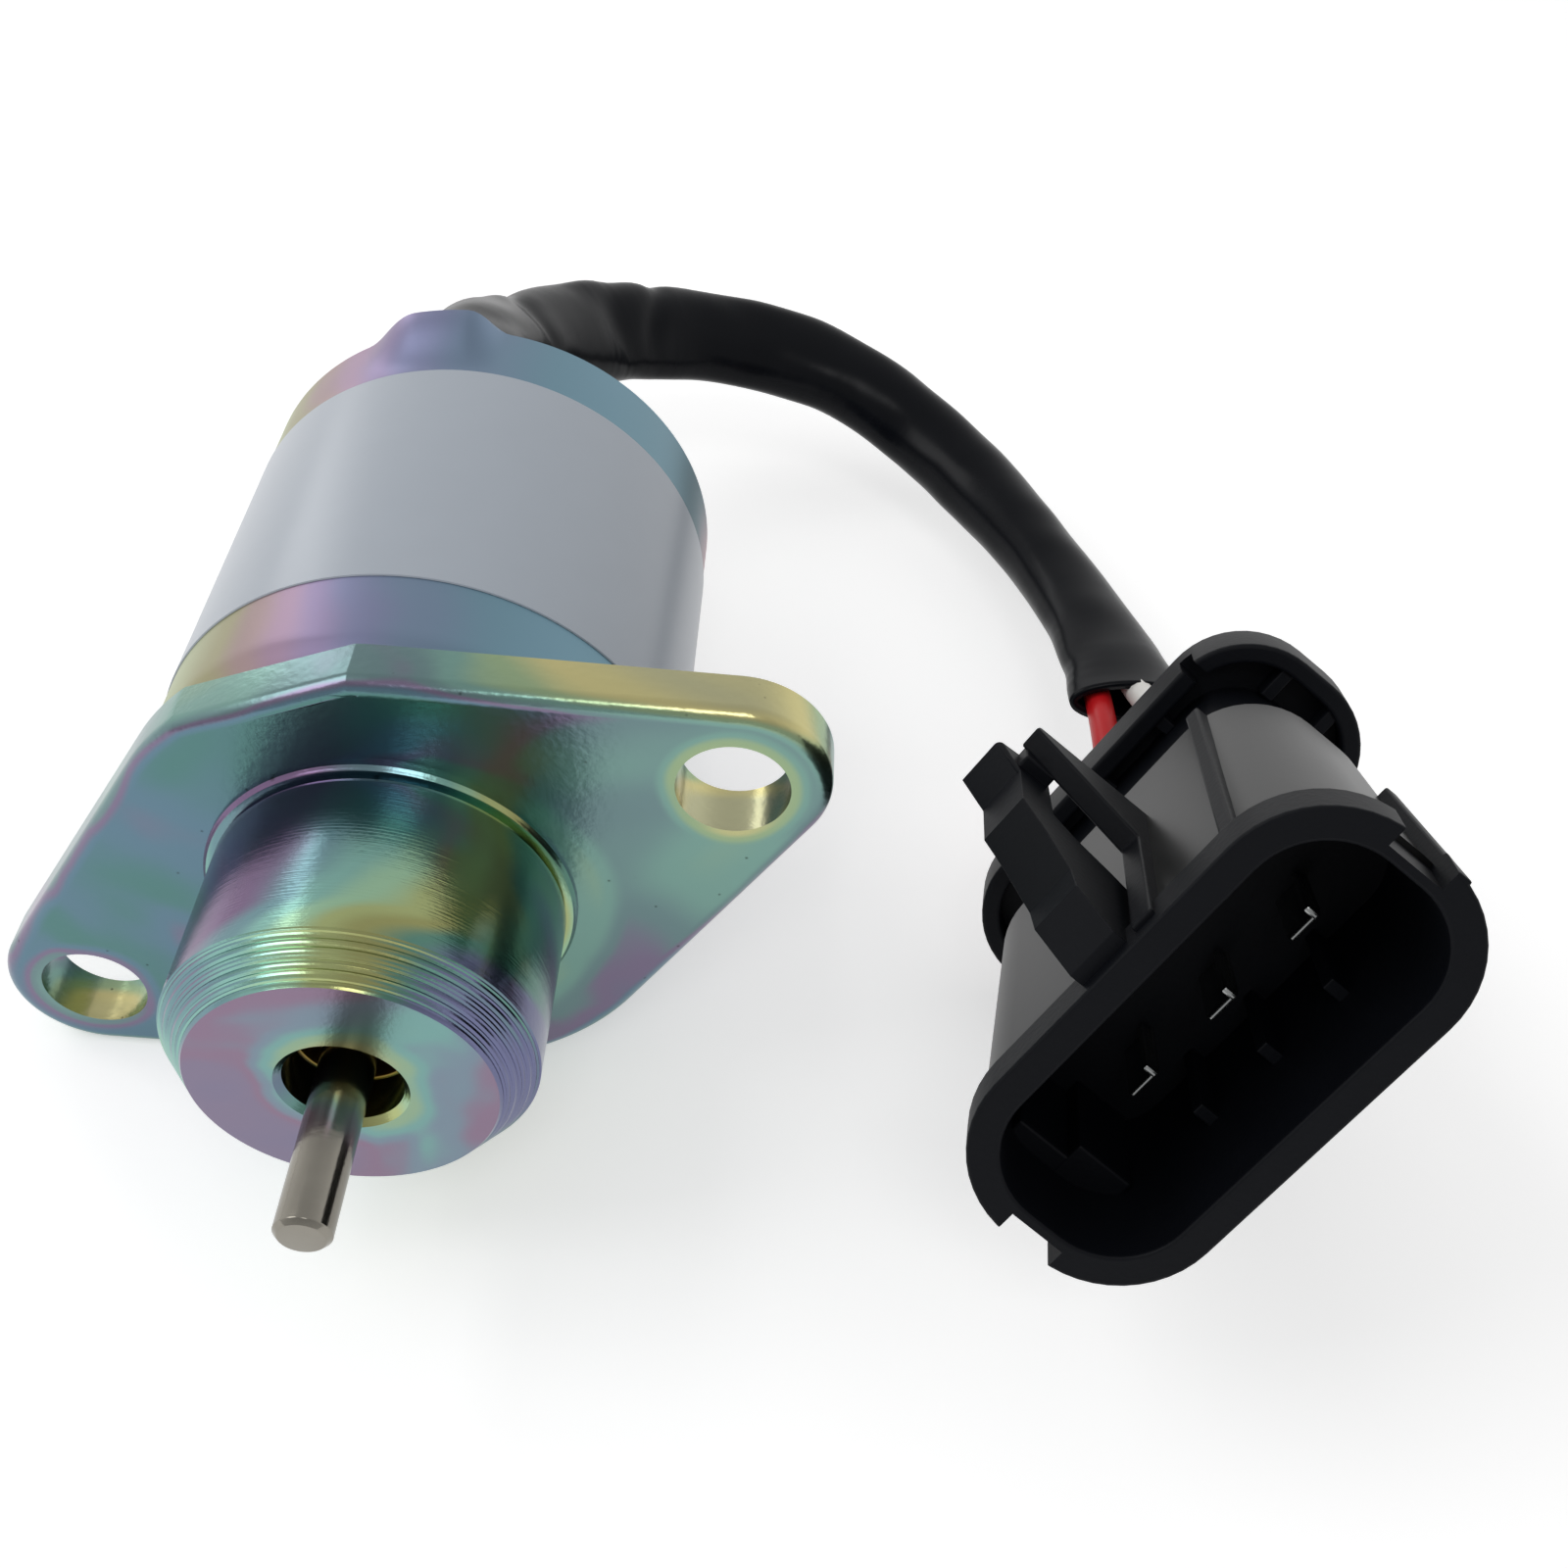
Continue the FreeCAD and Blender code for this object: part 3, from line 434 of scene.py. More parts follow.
# dull rubber, semi-gloss cast resin and amber tape
rubber = moulding("softRubber", "#161616", 0.6)
resin = moulding("castResin", "#1A1B1C", 0.35)
filmTape = moulding("polyesterTape", "#B59A3C", 0.4)
# pale satin polyester film, left bare
labelFilm = moulding("satinLabelFilm", "#ABB3BD", 0.28, 2600.0, 0.05, level=0.5, cloudy=0.02)
# plasticised PVC: a soft low gloss on the sleeve, plain colours on the leads
sleevePvc = moulding("softPvcSleeve", "#0A0C11", 0.27, 900.0, 0.12, level=0.12)
redPvc = moulding("redPvcInsulation", "#C4161C", 0.35)
blackPvc = moulding("blackPvcInsulation", "#0E0E10", 0.4)
whitePvc = moulding("whitePvcInsulation", "#E9E7E2", 0.4)
print("materials ready")

sleeve = {"route": [(-2.8, 37.05, 34.0), (-2.7, 45.2, 32.3), (-1.0, 56.3, 26.4), (10.1, 72.2, 20.1),
                    (29.6, 76.5, 16.0), (46.0, 67.6, 9.3), (58.2, 41.5, 9.1), (58.9, 27.1, 12.6)],
          "length": 122.5, "diameter": 8.0, "wall": 0.7}
# the three leads are a round bundle that turns slowly; row is where each lies when the flattened sleeve lays them
# side by side, and flat is how far that has come at the last points of the route
leads = {"diameter": 2.5, "offset": 1.62, "turn": 15.0, "twist": -4.3, "inside": 2.75, "outside": 3.0,
         "straight": 13.0, "lengths": (148.4, 153.2, 152.3),
         "row": ((3.0, 0.0), (-2.9, -0.7), (-0.2, 0.8)), "flat": {5: 0.35, 6: 0.75, 7: 1.0}}


def nurbsPath(name, points):
    # a smooth line through the same control points as the route
    curve = bpy.data.curves.new(name, "CURVE")
    curve.dimensions = "3D"
    curve.resolution_u = 16
    spline = curve.splines.new("NURBS")
    spline.points.add(len(points) - 1)
    for point, place in zip(spline.points, points):
        point.co = (place[0] * mm, place[1] * mm, place[2] * mm, 1)
    spline.order_u = 3
    spline.use_endpoint_u = True
    thing = bpy.data.objects.new(name, curve)
    bpy.context.scene.collection.objects.link(thing)
    return thing


def pathPoints(thing):
    graph = bpy.context.evaluated_depsgraph_get()
    mesh = bpy.data.meshes.new_from_object(thing.evaluated_get(graph))
    points = [v.co.copy() for v in mesh.vertices]
    bpy.data.meshes.remove(mesh)
    return points


def leadRoute(number):
    middle = [Vector(p) for p in sleeve["route"]]
    route = []
    for i, point in enumerate(middle):
        behind = (point - middle[max(i - 1, 0)]).normalized()
        ahead = (middle[min(i + 1, len(middle) - 1)] - point).normalized()
        along = (behind + ahead).normalized()
        across = along.cross(Vector((0, 0, 1))).normalized()
        upward = across.cross(along)
        angle = math.radians(leads["turn"] - 120 * number + leads["twist"] * i)
        bundle = (across * math.cos(angle) + upward * math.sin(angle)) * leads["offset"]
        row = across * leads["row"][number][0] + upward * leads["row"][number][1]
        route.append(point + bundle.lerp(row, leads["flat"].get(i, 0.0)))
    route[0] -= (middle[1] - middle[0]).normalized() * leads["inside"]
    route[-1] += (middle[-1] - middle[-2]).normalized() * leads["outside"]
    x = plug["bladePitch"] * (number - 1)
    for z in (plug["bladeRear"] - leads["straight"], plug["bladeRear"]):
        route.append(plugPlace @ Vector((x, plug["bladeY"], z)))
    return route


sleeveLine = nurbsPath("sleeveLine", sleeve["route"])
bpy.context.view_layer.update()
line = pathPoints(sleeveLine)
bpy.data.objects.remove(sleeveLine)

# the soft tube's section from the can to the plug: width, thickness and the turn of its wide axis
sleeveShape = [(0.0, 8.6, 7.6, 0), (0.12, 9.6, 7.2, 25), (0.28, 10.6, 6.0, 42), (0.42, 9.6, 6.1, 42),
               (0.55, 8.8, 6.6, 35), (0.66, 8.8, 7.0, 20), (0.78, 8.0, 6.6, 5), (0.87, 8.6, 6.0, 0),
               (0.94, 9.8, 5.2, 0), (1.0, 11.6, 4.4, 0)]
# creases across the soft tube: place along it, depth, width and the side that they are on
sleeveCreases = [(0.165, 0.75, 0.014, 2.2), (0.285, 0.5, 0.016, 1.7), (0.325, 0.7, 0.011, 2.6)]
sleeveFolds = {"depth": 0.30, "every": 26.0, "rings": 300, "around": 64}


def sleeveSize(share):
    for near, far in zip(sleeveShape, sleeveShape[1:]):
        if share <= far[0]:
            k = (share - near[0]) / (far[0] - near[0])
            k = k * k * (3 - 2 * k)
            return [p + (q - p) * k for p, q in zip(near[1:], far[1:])]
    return sleeveShape[-1][1:]


def sleeveMesh(points):
    bm = bmesh.new()
    lengths = [0.0]
    for p, q in zip(points, points[1:]):
        lengths.append(lengths[-1] + (q - p).length)
    total = lengths[-1]
    verts = bmesh.ops.create_circle(bm, cap_ends=False, radius=1, segments=sleeveFolds["around"])["verts"]
    order = {v: i for i, v in enumerate(verts)}
    base = [v.co.copy() for v in verts]
    edges = list({e for v in verts for e in v.link_edges})
    index = 0
    for n in range(sleeveFolds["rings"] + 1):
        if n:
            grown = bmesh.ops.extrude_edge_only(bm, edges=edges)["geom"]
            edges = [g for g in grown if isinstance(g, bmesh.types.BMEdge) and g.is_boundary]
            order = {v: order[e.other_vert(v)] for v in grown if isinstance(v, bmesh.types.BMVert)
                     for e in v.link_edges if e.other_vert(v) in order}
        share = n / sleeveFolds["rings"]
        while index < len(lengths) - 2 and lengths[index + 1] < total * share:
            index += 1
        k = (total * share - lengths[index]) / (lengths[index + 1] - lengths[index])
        at = points[index].lerp(points[index + 1], k)
        along = (points[min(index + 2, len(points) - 1)] - points[max(index - 1, 0)]).normalized()
        flat = along.cross(Vector((0, 0, 1))).normalized()
        wide, thick, turn = sleeveSize(share)
        across = Matrix.Rotation(math.radians(turn), 3, along) @ flat
        up = across.cross(along).normalized()
        calm = min(1, share * 14)
        for v, i in order.items():
            c = base[i]
            fold = noise.noise(Vector((c.x * 1.3, c.y * 1.3, share * sleeveFolds["every"])))
            sag = noise.noise(Vector((c.x * 0.7 + 4, c.y * 0.7, share * sleeveFolds["every"] * 0.35)))
            push = sleeveFolds["depth"] * calm * (1.15 - 0.8 * share) * (0.6 * fold + 0.8 * sag - 0.15)
            turned = math.atan2(c.y, c.x)
            for place, depth, width, side in sleeveCreases:
                lean = place + 0.012 * math.sin(turned * 2 + side)
                push -= depth * math.exp(-((share - lean) / width) ** 2) * (0.5 + 0.5 * math.cos(turned - side)) * 0.6
            v.co = at + (across * c.x * (wide / 2 + push) + up * c.y * (thick / 2 + push)) * mm
    return bm


tube = sleeveMesh(line)
sleevePiece = makePiece("sleeveTube", tube, Matrix.Scale(1 / mm, 4), sleevePvc, ["cable_sleeve"],
                        sharp=60)
skin = sleevePiece.modifiers.new("wall", "SOLIDIFY")
skin.thickness = sleeve["wall"] * mm
skin.offset = -1
bakeModifiers(sleevePiece)
sleevePiece.data.polygons.foreach_set("use_smooth", [True] * len(sleevePiece.data.polygons))

leadFinish = (("redLead", redPvc, "red_insulation", "red_wire"),
              ("blackLead", blackPvc, "black_insulation", "black_wire"),
              ("whiteLead", whitePvc, "white_insulation", "white_wire"))
for number, (name, material, slot, node) in enumerate(leadFinish):
    route = leadRoute(number)
    piece = nurbsPath(name, route)
    piece.data.bevel_depth = leads["diameter"] / 2 * mm
    piece.data.bevel_resolution = 5
    piece.data.use_fill_caps = True
    piece.data.materials.append(material)
    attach(piece, "solenoid")
    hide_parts(node)
print("cords ready")

flange = {"flatFromAxis": 18.95, "flatAngle": 84.0, "edgeRoll": 1.15, "spigot": 9.0}


def flangeMesh():
    # three round posts under one skin give the outline
    posts = bmesh.new()
    half = solenoid["holePitch"] / 2
    depth = solenoid["flangeThick"]
    for x, radius in ((-half, solenoid["bossRadius"]), (0, solenoid["midRadius"]), (half, solenoid["bossRadius"])):
        bmesh.ops.create_cone(posts, cap_ends=True, segments=144, radius1=radius, radius2=radius, depth=depth,
                              matrix=Matrix.Translation((x, 0, -depth / 2)))
    hull = bmesh.ops.convex_hull(posts, input=posts.verts[:], use_existing_faces=False)
    inner = [g for g in hull["geom_interior"] + hull["geom_unused"] if isinstance(g, bmesh.types.BMVert)]
    bmesh.ops.delete(posts, geom=inner, context="VERTS")
    keep = [g for g in hull["geom"] if isinstance(g, bmesh.types.BMFace) and g.is_valid]
    spare = [f for f in posts.faces if f not in set(keep)]
    bmesh.ops.delete(posts, geom=spare, context="FACES_ONLY")
    bmesh.ops.dissolve_limit(posts, angle_limit=math.radians(0.5), verts=posts.verts, edges=posts.edges)
    angle = math.radians(flange["flatAngle"])
    normal = Vector((math.cos(angle), math.sin(angle), 0))
    cut = bmesh.ops.bisect_plane(posts, geom=posts.verts[:] + posts.edges[:] + posts.faces[:],
                                 plane_co=normal * flange["flatFromAxis"], plane_no=normal, clear_outer=True)
    openEdges = [g for g in cut["geom_cut"] if isinstance(g, bmesh.types.BMEdge)]
    bmesh.ops.edgeloop_fill(posts, edges=openEdges)
    front = [e for e in posts.edges if all(abs(v.co.z) < 1e-4 for v in e.verts)]
    bmesh.ops.bevel(posts, geom=front, offset=flange["edgeRoll"], affect="EDGES", segments=9, profile=0.5,
                    material=-1)
    fronts = [f for f in posts.faces if f.normal.z > 0.999 and abs(f.calc_center_median().z) < 1e-4]
    bmesh.ops.inset_region(posts, faces=fronts, thickness=0.04, use_even_offset=True, use_boundary=True)
    holes = bmesh.new()
    for x, radius in ((-half, solenoid["holeRadius"]), (0, flange["spigot"]), (half, solenoid["holeRadius"])):
        bmesh.ops.create_cone(holes, cap_ends=True, segments=96, radius1=radius, radius2=radius, depth=depth + 4,
                              matrix=Matrix.Translation((x, 0, -depth / 2)))
    return boolean(posts, holes, "DIFFERENCE", tangled=True)


makePiece("flangePlate", flangeMesh(), solenoidPlace, plateZinc, ["mounting_flange"], sharp=28)

# bead is the staked joint at the nose's foot, as (out from the nose, up from the flange)
nose = {"radius": 12.45, "length": 16.7, "chamferR": 2.3, "chamferL": 2.9, "boreRadius": 3.95, "boreLead": 0.45,
        "boreDepth": 3.6, "guide": 7.45, "linerOuter": 4.7, "shoulder": 3.0, "spigotRear": -4.6, "grooves": 14,
        "bead": ((0, 1.1), (-0.25, 0.95), (-0.2, 0.7), (0.1, 0.62), (0.45, 0.62), (0.7, 0.3), (0.7, 0))}


def noseMesh():
    n = nose
    front = n["length"]
    corners = [(n["boreRadius"], front - n["boreDepth"]), (n["boreRadius"], front - n["boreLead"]),
               (n["boreRadius"] + n["boreLead"], front), (n["radius"] - n["chamferR"], front)]
    # the tool's marks on the chamfer, of uneven depth
    for i in range(n["grooves"]):
        bottom = 0.55 + 0.15 * math.sin(i * 2.7), 0.015 + 0.045 * abs(math.sin(i * 1.9))
        for part, dip in ((0.15, 0.0), bottom):
            k = (i + part) / n["grooves"]
            corners.append((n["radius"] - n["chamferR"] * (1 - k) - dip, front - n["chamferL"] * k - dip))
    corners.append((n["radius"], front - n["chamferL"]))
    corners += [(n["radius"] + out, up) for out, up in n["bead"]]
    corners += [(flange["spigot"], 0), (flange["spigot"], n["spigotRear"]), (n["guide"], n["spigotRear"]),
                (n["guide"], n["shoulder"]), (n["linerOuter"], n["shoulder"]),
                (n["linerOuter"], front - n["boreDepth"])]
    return lathe(corners, steps=192)


nosePiece = makePiece("turnedNose", noseMesh(), solenoidPlace, noseZinc, ["nose_hub"], sharp=22)
nosePiece.data.materials.append(faceZinc)
for face in nosePiece.data.polygons:
    if face.normal.y < -0.98 and face.center.y < (solenoid["axisY"] - nose["length"] + 0.2) * mm:
        face.material_index = 1

bands = {"inner": 3.8, "outer": 4.7, "ring": (11.7, 13.1), "liner": (3.0, 11.35), "rounding": 0.06}
for name, span, node in (("boreRing", bands["ring"], "bore_ring"), ("boreLiner", bands["liner"], "bore_liner")):
    corners = [(bands["inner"], span[0]), (bands["inner"], span[1]),
               (bands["outer"], span[1]), (bands["outer"], span[0])]
    makePiece(name, lathe(corners, rounding=bands["rounding"]), solenoidPlace, brass, [node])

rod = {"outline": [(0, -6.8), (1.85, -6.8), (1.85, 27.35), (1.5, 27.7), (0, 27.7)], "rounding": 0.05}
makePiece("pushRod", lathe(rod["outline"], steps=96, rounding=rod["rounding"]), solenoidPlace,
          groundSteel, ["plunger_rod"], body="plunger")

spring = {"mean": 2.4, "wire": 0.7, "turns": 9, "rear": -33.95, "front": -11.15, "steps": 324}


def springMesh():
    # round wire wound along the axis
    bm = bmesh.new()
    start = Matrix.Translation((spring["mean"], 0, spring["rear"])) @ Matrix.Rotation(math.pi / 2, 4, "X")
    bmesh.ops.create_circle(bm, cap_ends=True, radius=spring["wire"] / 2, segments=10, matrix=start)
    rise = (spring["front"] - spring["rear"]) / spring["steps"]
    bmesh.ops.spin(bm, geom=bm.faces[:], cent=(0, 0, 0), axis=(0, 0, 1), dvec=(0, 0, rise),
                   angle=math.tau * spring["turns"], steps=spring["steps"])
    return bm


# on the solenoid its front end follows the plunger and its rear end stays on the core, so it shortens; here it gets no
# body and its place is baked into its mesh
springPiece = makePiece("returnSpring", springMesh(), solenoidPlace, springSteel, ["return_spring"],
                        body=None, sharp=60)
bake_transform(springPiece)
print("nose, rod and spring ready")

can = {"radius": 19.3, "wall": 1.5, "front": -3.9, "rear": -45.4, "recess": 1.5, "tuck": 0.42, "tuckLength": 1.9,
       "hoodAngle": 69.6, "hoodFlat": 6.0, "hoodRight": 9.5, "hoodLeft": 14.5, "hoodReach": 1.85, "hoodLength": 6.6}


def smooth(value):
    value = max(0.0, min(1.0, value))
    return value * value * (3 - 2 * value)


def canMesh():
    c = can
    rows = 60
    inner = c["radius"] - c["wall"]
    corners = [(c["radius"], c["front"] + (c["rear"] - c["front"]) * i / rows) for i in range(rows)]
    corners += [(c["radius"], c["rear"] + 0.35), (c["radius"] - 0.35, c["rear"]), (inner + 0.3, c["rear"]),
                (inner, c["rear"] + 0.3), (inner, c["rear"] + c["recess"]), (inner, c["front"])]
    bm = lathe(corners, steps=288)
    for v in bm.verts:
        radius = math.hypot(v.co.x, v.co.y)
        apart = math.degrees(math.atan2(v.co.y, v.co.x)) - c["hoodAngle"]
        fade = c["hoodLeft"] if apart > 0 else c["hoodRight"]
        # the hood swells smoothly out of the rear rim, flat on top
        lift = c["hoodReach"] * smooth((c["hoodFlat"] + fade - abs(apart)) / fade)
        lift *= smooth(1 - (v.co.z - c["rear"]) / c["hoodLength"])
        # the rim that meets the flange is drawn in a little
        outside = radius > c["radius"] - 0.1
        tuck = c["tuck"] * smooth(1 - (c["front"] - v.co.z) / c["tuckLength"]) if outside else 0.0
        v.co.x *= (radius + lift - tuck) / radius
        v.co.y *= (radius + lift - tuck) / radius
    return bm


makePiece("drawnCan", canMesh(), solenoidPlace, canZinc, ["can_housing"], sharp=40)

# the seam is in degrees, and the edge is let down to the can over a slope
label = {"front": -12.0, "rear": -38.7, "thick": 0.12, "seam": 1.5, "lift": 0.01, "slope": 0.05}


def labelMesh():
    bm = bmesh.new()
    low, high = can["radius"] + label["lift"], can["radius"] + label["thick"]
    rows = [(low, label["front"]), (high, label["front"] - label["slope"]), (high, label["rear"] + label["slope"]),
            (low, label["rear"])]
    verts = [bm.verts.new((r, 0, z)) for r, z in rows]
    edges = [bm.edges.new(pair) for pair in zip(verts, verts[1:])]
    gap = math.radians(label["seam"])
    bmesh.ops.rotate(bm, verts=bm.verts, cent=(0, 0, 0), matrix=Matrix.Rotation(-math.pi / 2 + gap / 2, 3, "Z"))
    bmesh.ops.spin(bm, geom=bm.verts[:] + bm.edges[:], cent=(0, 0, 0), axis=(0, 0, 1), angle=math.tau - gap,
                   steps=200)
    return bm


makePiece("wrapLabel", labelMesh(), solenoidPlace, labelFilm, ["wrap_label"], sharp=40)
print("solenoid ready")

# the rounded oblong sections are half length, half height and corner radius
housing = {"rim": (17.4, 8.5, 7.3), "rimDepth": 3.4, "wall": 2.1, "front": (16.2, 8.0, 6.8), "rear": (15.0, 7.7, 6.2),
           "length": 28.4, "socket": 16.0, "draft": 0.5, "stem": (13.2, 6.0, 5.0), "stemLength": 12.0,
           "keyway": (4.0, 1.4), "ridgePitch": 5.9, "ridge": (0.9, 1.7), "rib": (9.6, 10.8),
           "fin": (1.0, 18.0, 1.1), "blade": (2.8, 0.8),
           "sealRadius": 2.9, "sealLength": 5.0, "cornerSteps": 12, "soft": 0.22}


def ring(bm, size, z, y=0.0, less=0.0):
    # edges of one rounded oblong section, less a wall all round
    length, height, radius = (value - less for value in size)
    signs = ((-1, -1), (1, -1), (1, 1), (-1, 1))
    face = bm.faces.new([bm.verts.new((sx * length, y + sy * height, z)) for sx, sy in signs])
    made = bmesh.ops.bevel(bm, geom=face.verts[:], offset=radius, affect="VERTICES", segments=housing["cornerSteps"],
                           profile=0.5, material=-1)
    edges = list({e for v in made["verts"] for e in v.link_edges})
    bmesh.ops.delete(bm, geom=[f for v in made["verts"][:1] for f in v.link_faces], context="FACES_ONLY")
    return [e for e in edges if e.is_valid]


def tower(sections):
    # rounded sections joined one after another, with both ends capped
    bm = bmesh.new()
    rings = [ring(bm, *section) for section in sections]
    for near, far in zip(rings, rings[1:]):
        bmesh.ops.bridge_loops(bm, edges=near + far)
    for end in (rings[0], rings[-1]):
        bmesh.ops.edgeloop_fill(bm, edges=end)
    bmesh.ops.recalc_face_normals(bm, faces=bm.faces)
    return bm


def soften(bm, width, angle=40, segments=3, pick=lambda e: True):
    # rounds the picked edges that are sharper than the angle, in degrees
    sharp = math.radians(angle)
    edges = [e for e in bm.edges if len(e.link_faces) == 2 and e.calc_face_angle(0) > sharp and pick(e)]
    bmesh.ops.bevel(bm, geom=edges, offset=width, affect="EDGES", segments=segments, profile=0.5, material=-1,
                    clamp_overlap=True)


def prism(outline, low, high, axis):
    # a straight extrusion of an outline: axis 0 takes (z, y) points, axis 1 takes (x, z) points
    bm = bmesh.new()
    place = (lambda a, b, t: (t, b, a)) if axis == 0 else (lambda a, b, t: (a, t, b))
    face = bm.faces.new([bm.verts.new(place(a, b, low)) for a, b in outline])
    grown = bmesh.ops.extrude_face_region(bm, geom=[face])["geom"]
    shift = [0, 0, 0]
    shift[axis] = high - low
    bmesh.ops.translate(bm, verts=[g for g in grown if isinstance(g, bmesh.types.BMVert)], vec=shift)
    bmesh.ops.recalc_face_normals(bm, faces=bm.faces)
    return bm


def box(x0, x1, y0, y1, z0, z1, soft=0.0):
    bm = prism([(x0, z0), (x1, z0), (x1, z1), (x0, z1)], y0, y1, 1)
    if soft:
        soften(bm, soft, segments=2)
    return bm


def combine(bm, others, operation):
    for other in others:
        bm = boolean(bm, other, operation)
    return bm


# x gives both sides of the arm and of the gusset beside it
latch = {"x": (-2.1, 1.75, 2.5, 4.2), "tip": -20.4}


def latchParts():
    x0, x1, x2, x3 = latch["x"]
    foot = housing["rear"][1] - 0.3
    tip = latch["tip"]
    arm = prism([(-1.2, foot), (-1.2, 9.5), (-3.9, 12.3), (-5.9, 12.7), (-9.7, 14.9), (-12.0, 16.6), (-17.2, 16.9),
                 (tip + 0.4, 18.9), (tip, 18.7), (tip - 0.4, 17.0), (tip, 14.5), (-13.7, 14.0), (-12.4, 12.1),
                 (-11.3, 9.2), (-10.4, foot)], x0, x1, 0)
    corner = [e for e in arm.edges if all(v.co.x > x1 - 0.01 and v.co.y > 16.5 and v.co.z < -17 for v in e.verts)]
    bmesh.ops.bevel(arm, geom=corner, offset=0.7, affect="EDGES", segments=4, profile=0.5, material=-1,
                    clamp_overlap=True)
    soften(arm, 0.22)
    gusset = prism([(-1.2, foot), (-1.2, 8.9), (-13.9, 8.9), (tip + 0.7, 17.5), (tip, 17.3), (tip, foot)], x2, x3, 0)
    soften(gusset, 0.18)
    bridge = box(x1 - 0.2, x2 + 0.2, 14.6, 17.1, tip, tip + 2.6, 0.15)
    return [arm, gusset, bridge]


def housingMesh():
    h = housing
    rimRear, bodyRear, stemRear = -h["rimDepth"], -h["length"], -h["length"] - h["stemLength"]
    body = tower([(h["stem"], stemRear), (h["stem"], bodyRear), (h["rear"], bodyRear), (h["front"], rimRear),
                  (h["rim"], rimRear), (h["rim"], 0), (h["rim"], 0, 0, h["wall"]),
                  (h["rim"], -h["socket"], 0, h["wall"] + h["draft"])])
    soften(body, h["soft"], pick=lambda e: min(v.co.z for v in e.verts) > -h["socket"] + 1)
    soften(body, 0.12, segments=2, pick=lambda e: max(v.co.z for v in e.verts) < bodyRear + 1)
    thick, reach, taper = h["fin"]
    inside = h["rim"][0] - h["wall"] + 0.3
    fin = prism([(inside - h["draft"], -reach), (h["rim"][0] - taper, -reach), (h["rim"][0], -0.02), (inside, -0.02)],
                -h["keyway"][0] / 2 - thick, -h["keyway"][0] / 2, 1)
    soften(fin, 0.15, segments=2)
    rib = box(h["rib"][0], h["rib"][1], h["rear"][1] - 1, h["front"][1] + 0.35, bodyRear - 0.05, -0.6, 0.2)
    mouth = h["rim"][0] - h["wall"], h["rim"][1] - h["wall"]
    keys = [box(-mouth[0] - 0.3, -mouth[0] + 2.8, -5.0, -0.6, -h["socket"] - 0.2, -7.0, 0.2),
            box(-mouth[0] - 0.3, -mouth[0] + 1.6, -0.8, 3.4, -h["socket"] - 0.2, -7.0, 0.2)]
    wide, high = h["ridge"]
    keys += [box(x - wide / 2, x + wide / 2, -mouth[1] - 0.4, -mouth[1] + high, -h["socket"] - 0.2, -8.0, 0.12)
             for x in (-h["ridgePitch"], 0.0, h["ridgePitch"])]
    body = combine(body, [fin, rib] + latchParts() + keys, "UNION")
    cuts = []
    for side in (-1, 1):
        x0, x1 = sorted((side * (h["rim"][0] + 1), side * (h["rim"][0] - h["keyway"][1])))
        cuts.append(box(x0, x1, -h["keyway"][0] / 2, h["keyway"][0] / 2, rimRear - 0.01, 0.5))
    for x in (-plug["bladePitch"], 0.0, plug["bladePitch"]):
        bore = bmesh.new()
        start, end = stemRear - 0.5, plug["bladeRear"] + h["sealLength"]
        bmesh.ops.create_cone(bore, cap_ends=True, segments=48, radius1=h["sealRadius"], radius2=h["sealRadius"],
                              depth=end - start, matrix=Matrix.Translation((x, plug["bladeY"], (start + end) / 2)))
        cuts.append(bore)
    return combine(body, cuts, "DIFFERENCE")


housingPiece = makePiece("plugHousing", housingMesh(), plugPlace, nylon, ["plug_housing"], sharp=12)
housingPiece.data.materials.append(nylonGloss)
# only the skin between the rear and the rim is polished
inverse = (Matrix.Scale(mm, 4) @ plugPlace).inverted()
for face in housingPiece.data.polygons:
    spot = inverse @ face.center
    k = (spot.z + housing["length"]) / (housing["length"] - housing["rimDepth"])
    length, height, radius = (a + (b - a) * k for a, b in zip(housing["rear"], housing["front"]))
    dx, dy = max(abs(spot.x) - length + radius, 0), max(abs(spot.y) - height + radius, 0)
    if 0 < k < 1 and abs(math.hypot(dx, dy) - radius) < 0.12:
        face.material_index = 1

collar = {"size": (17.2, 8.1, 6.8), "y": 0.6, "length": 5.6, "wall": 1.5, "floor": 3.0, "slot": (10.7, 11.9),
          "web": 1.0, "webX": (-6.6, 0.0, 6.6), "webY": (-2.4, 2.4), "holeRadius": 1.65, "roll": 1.1}


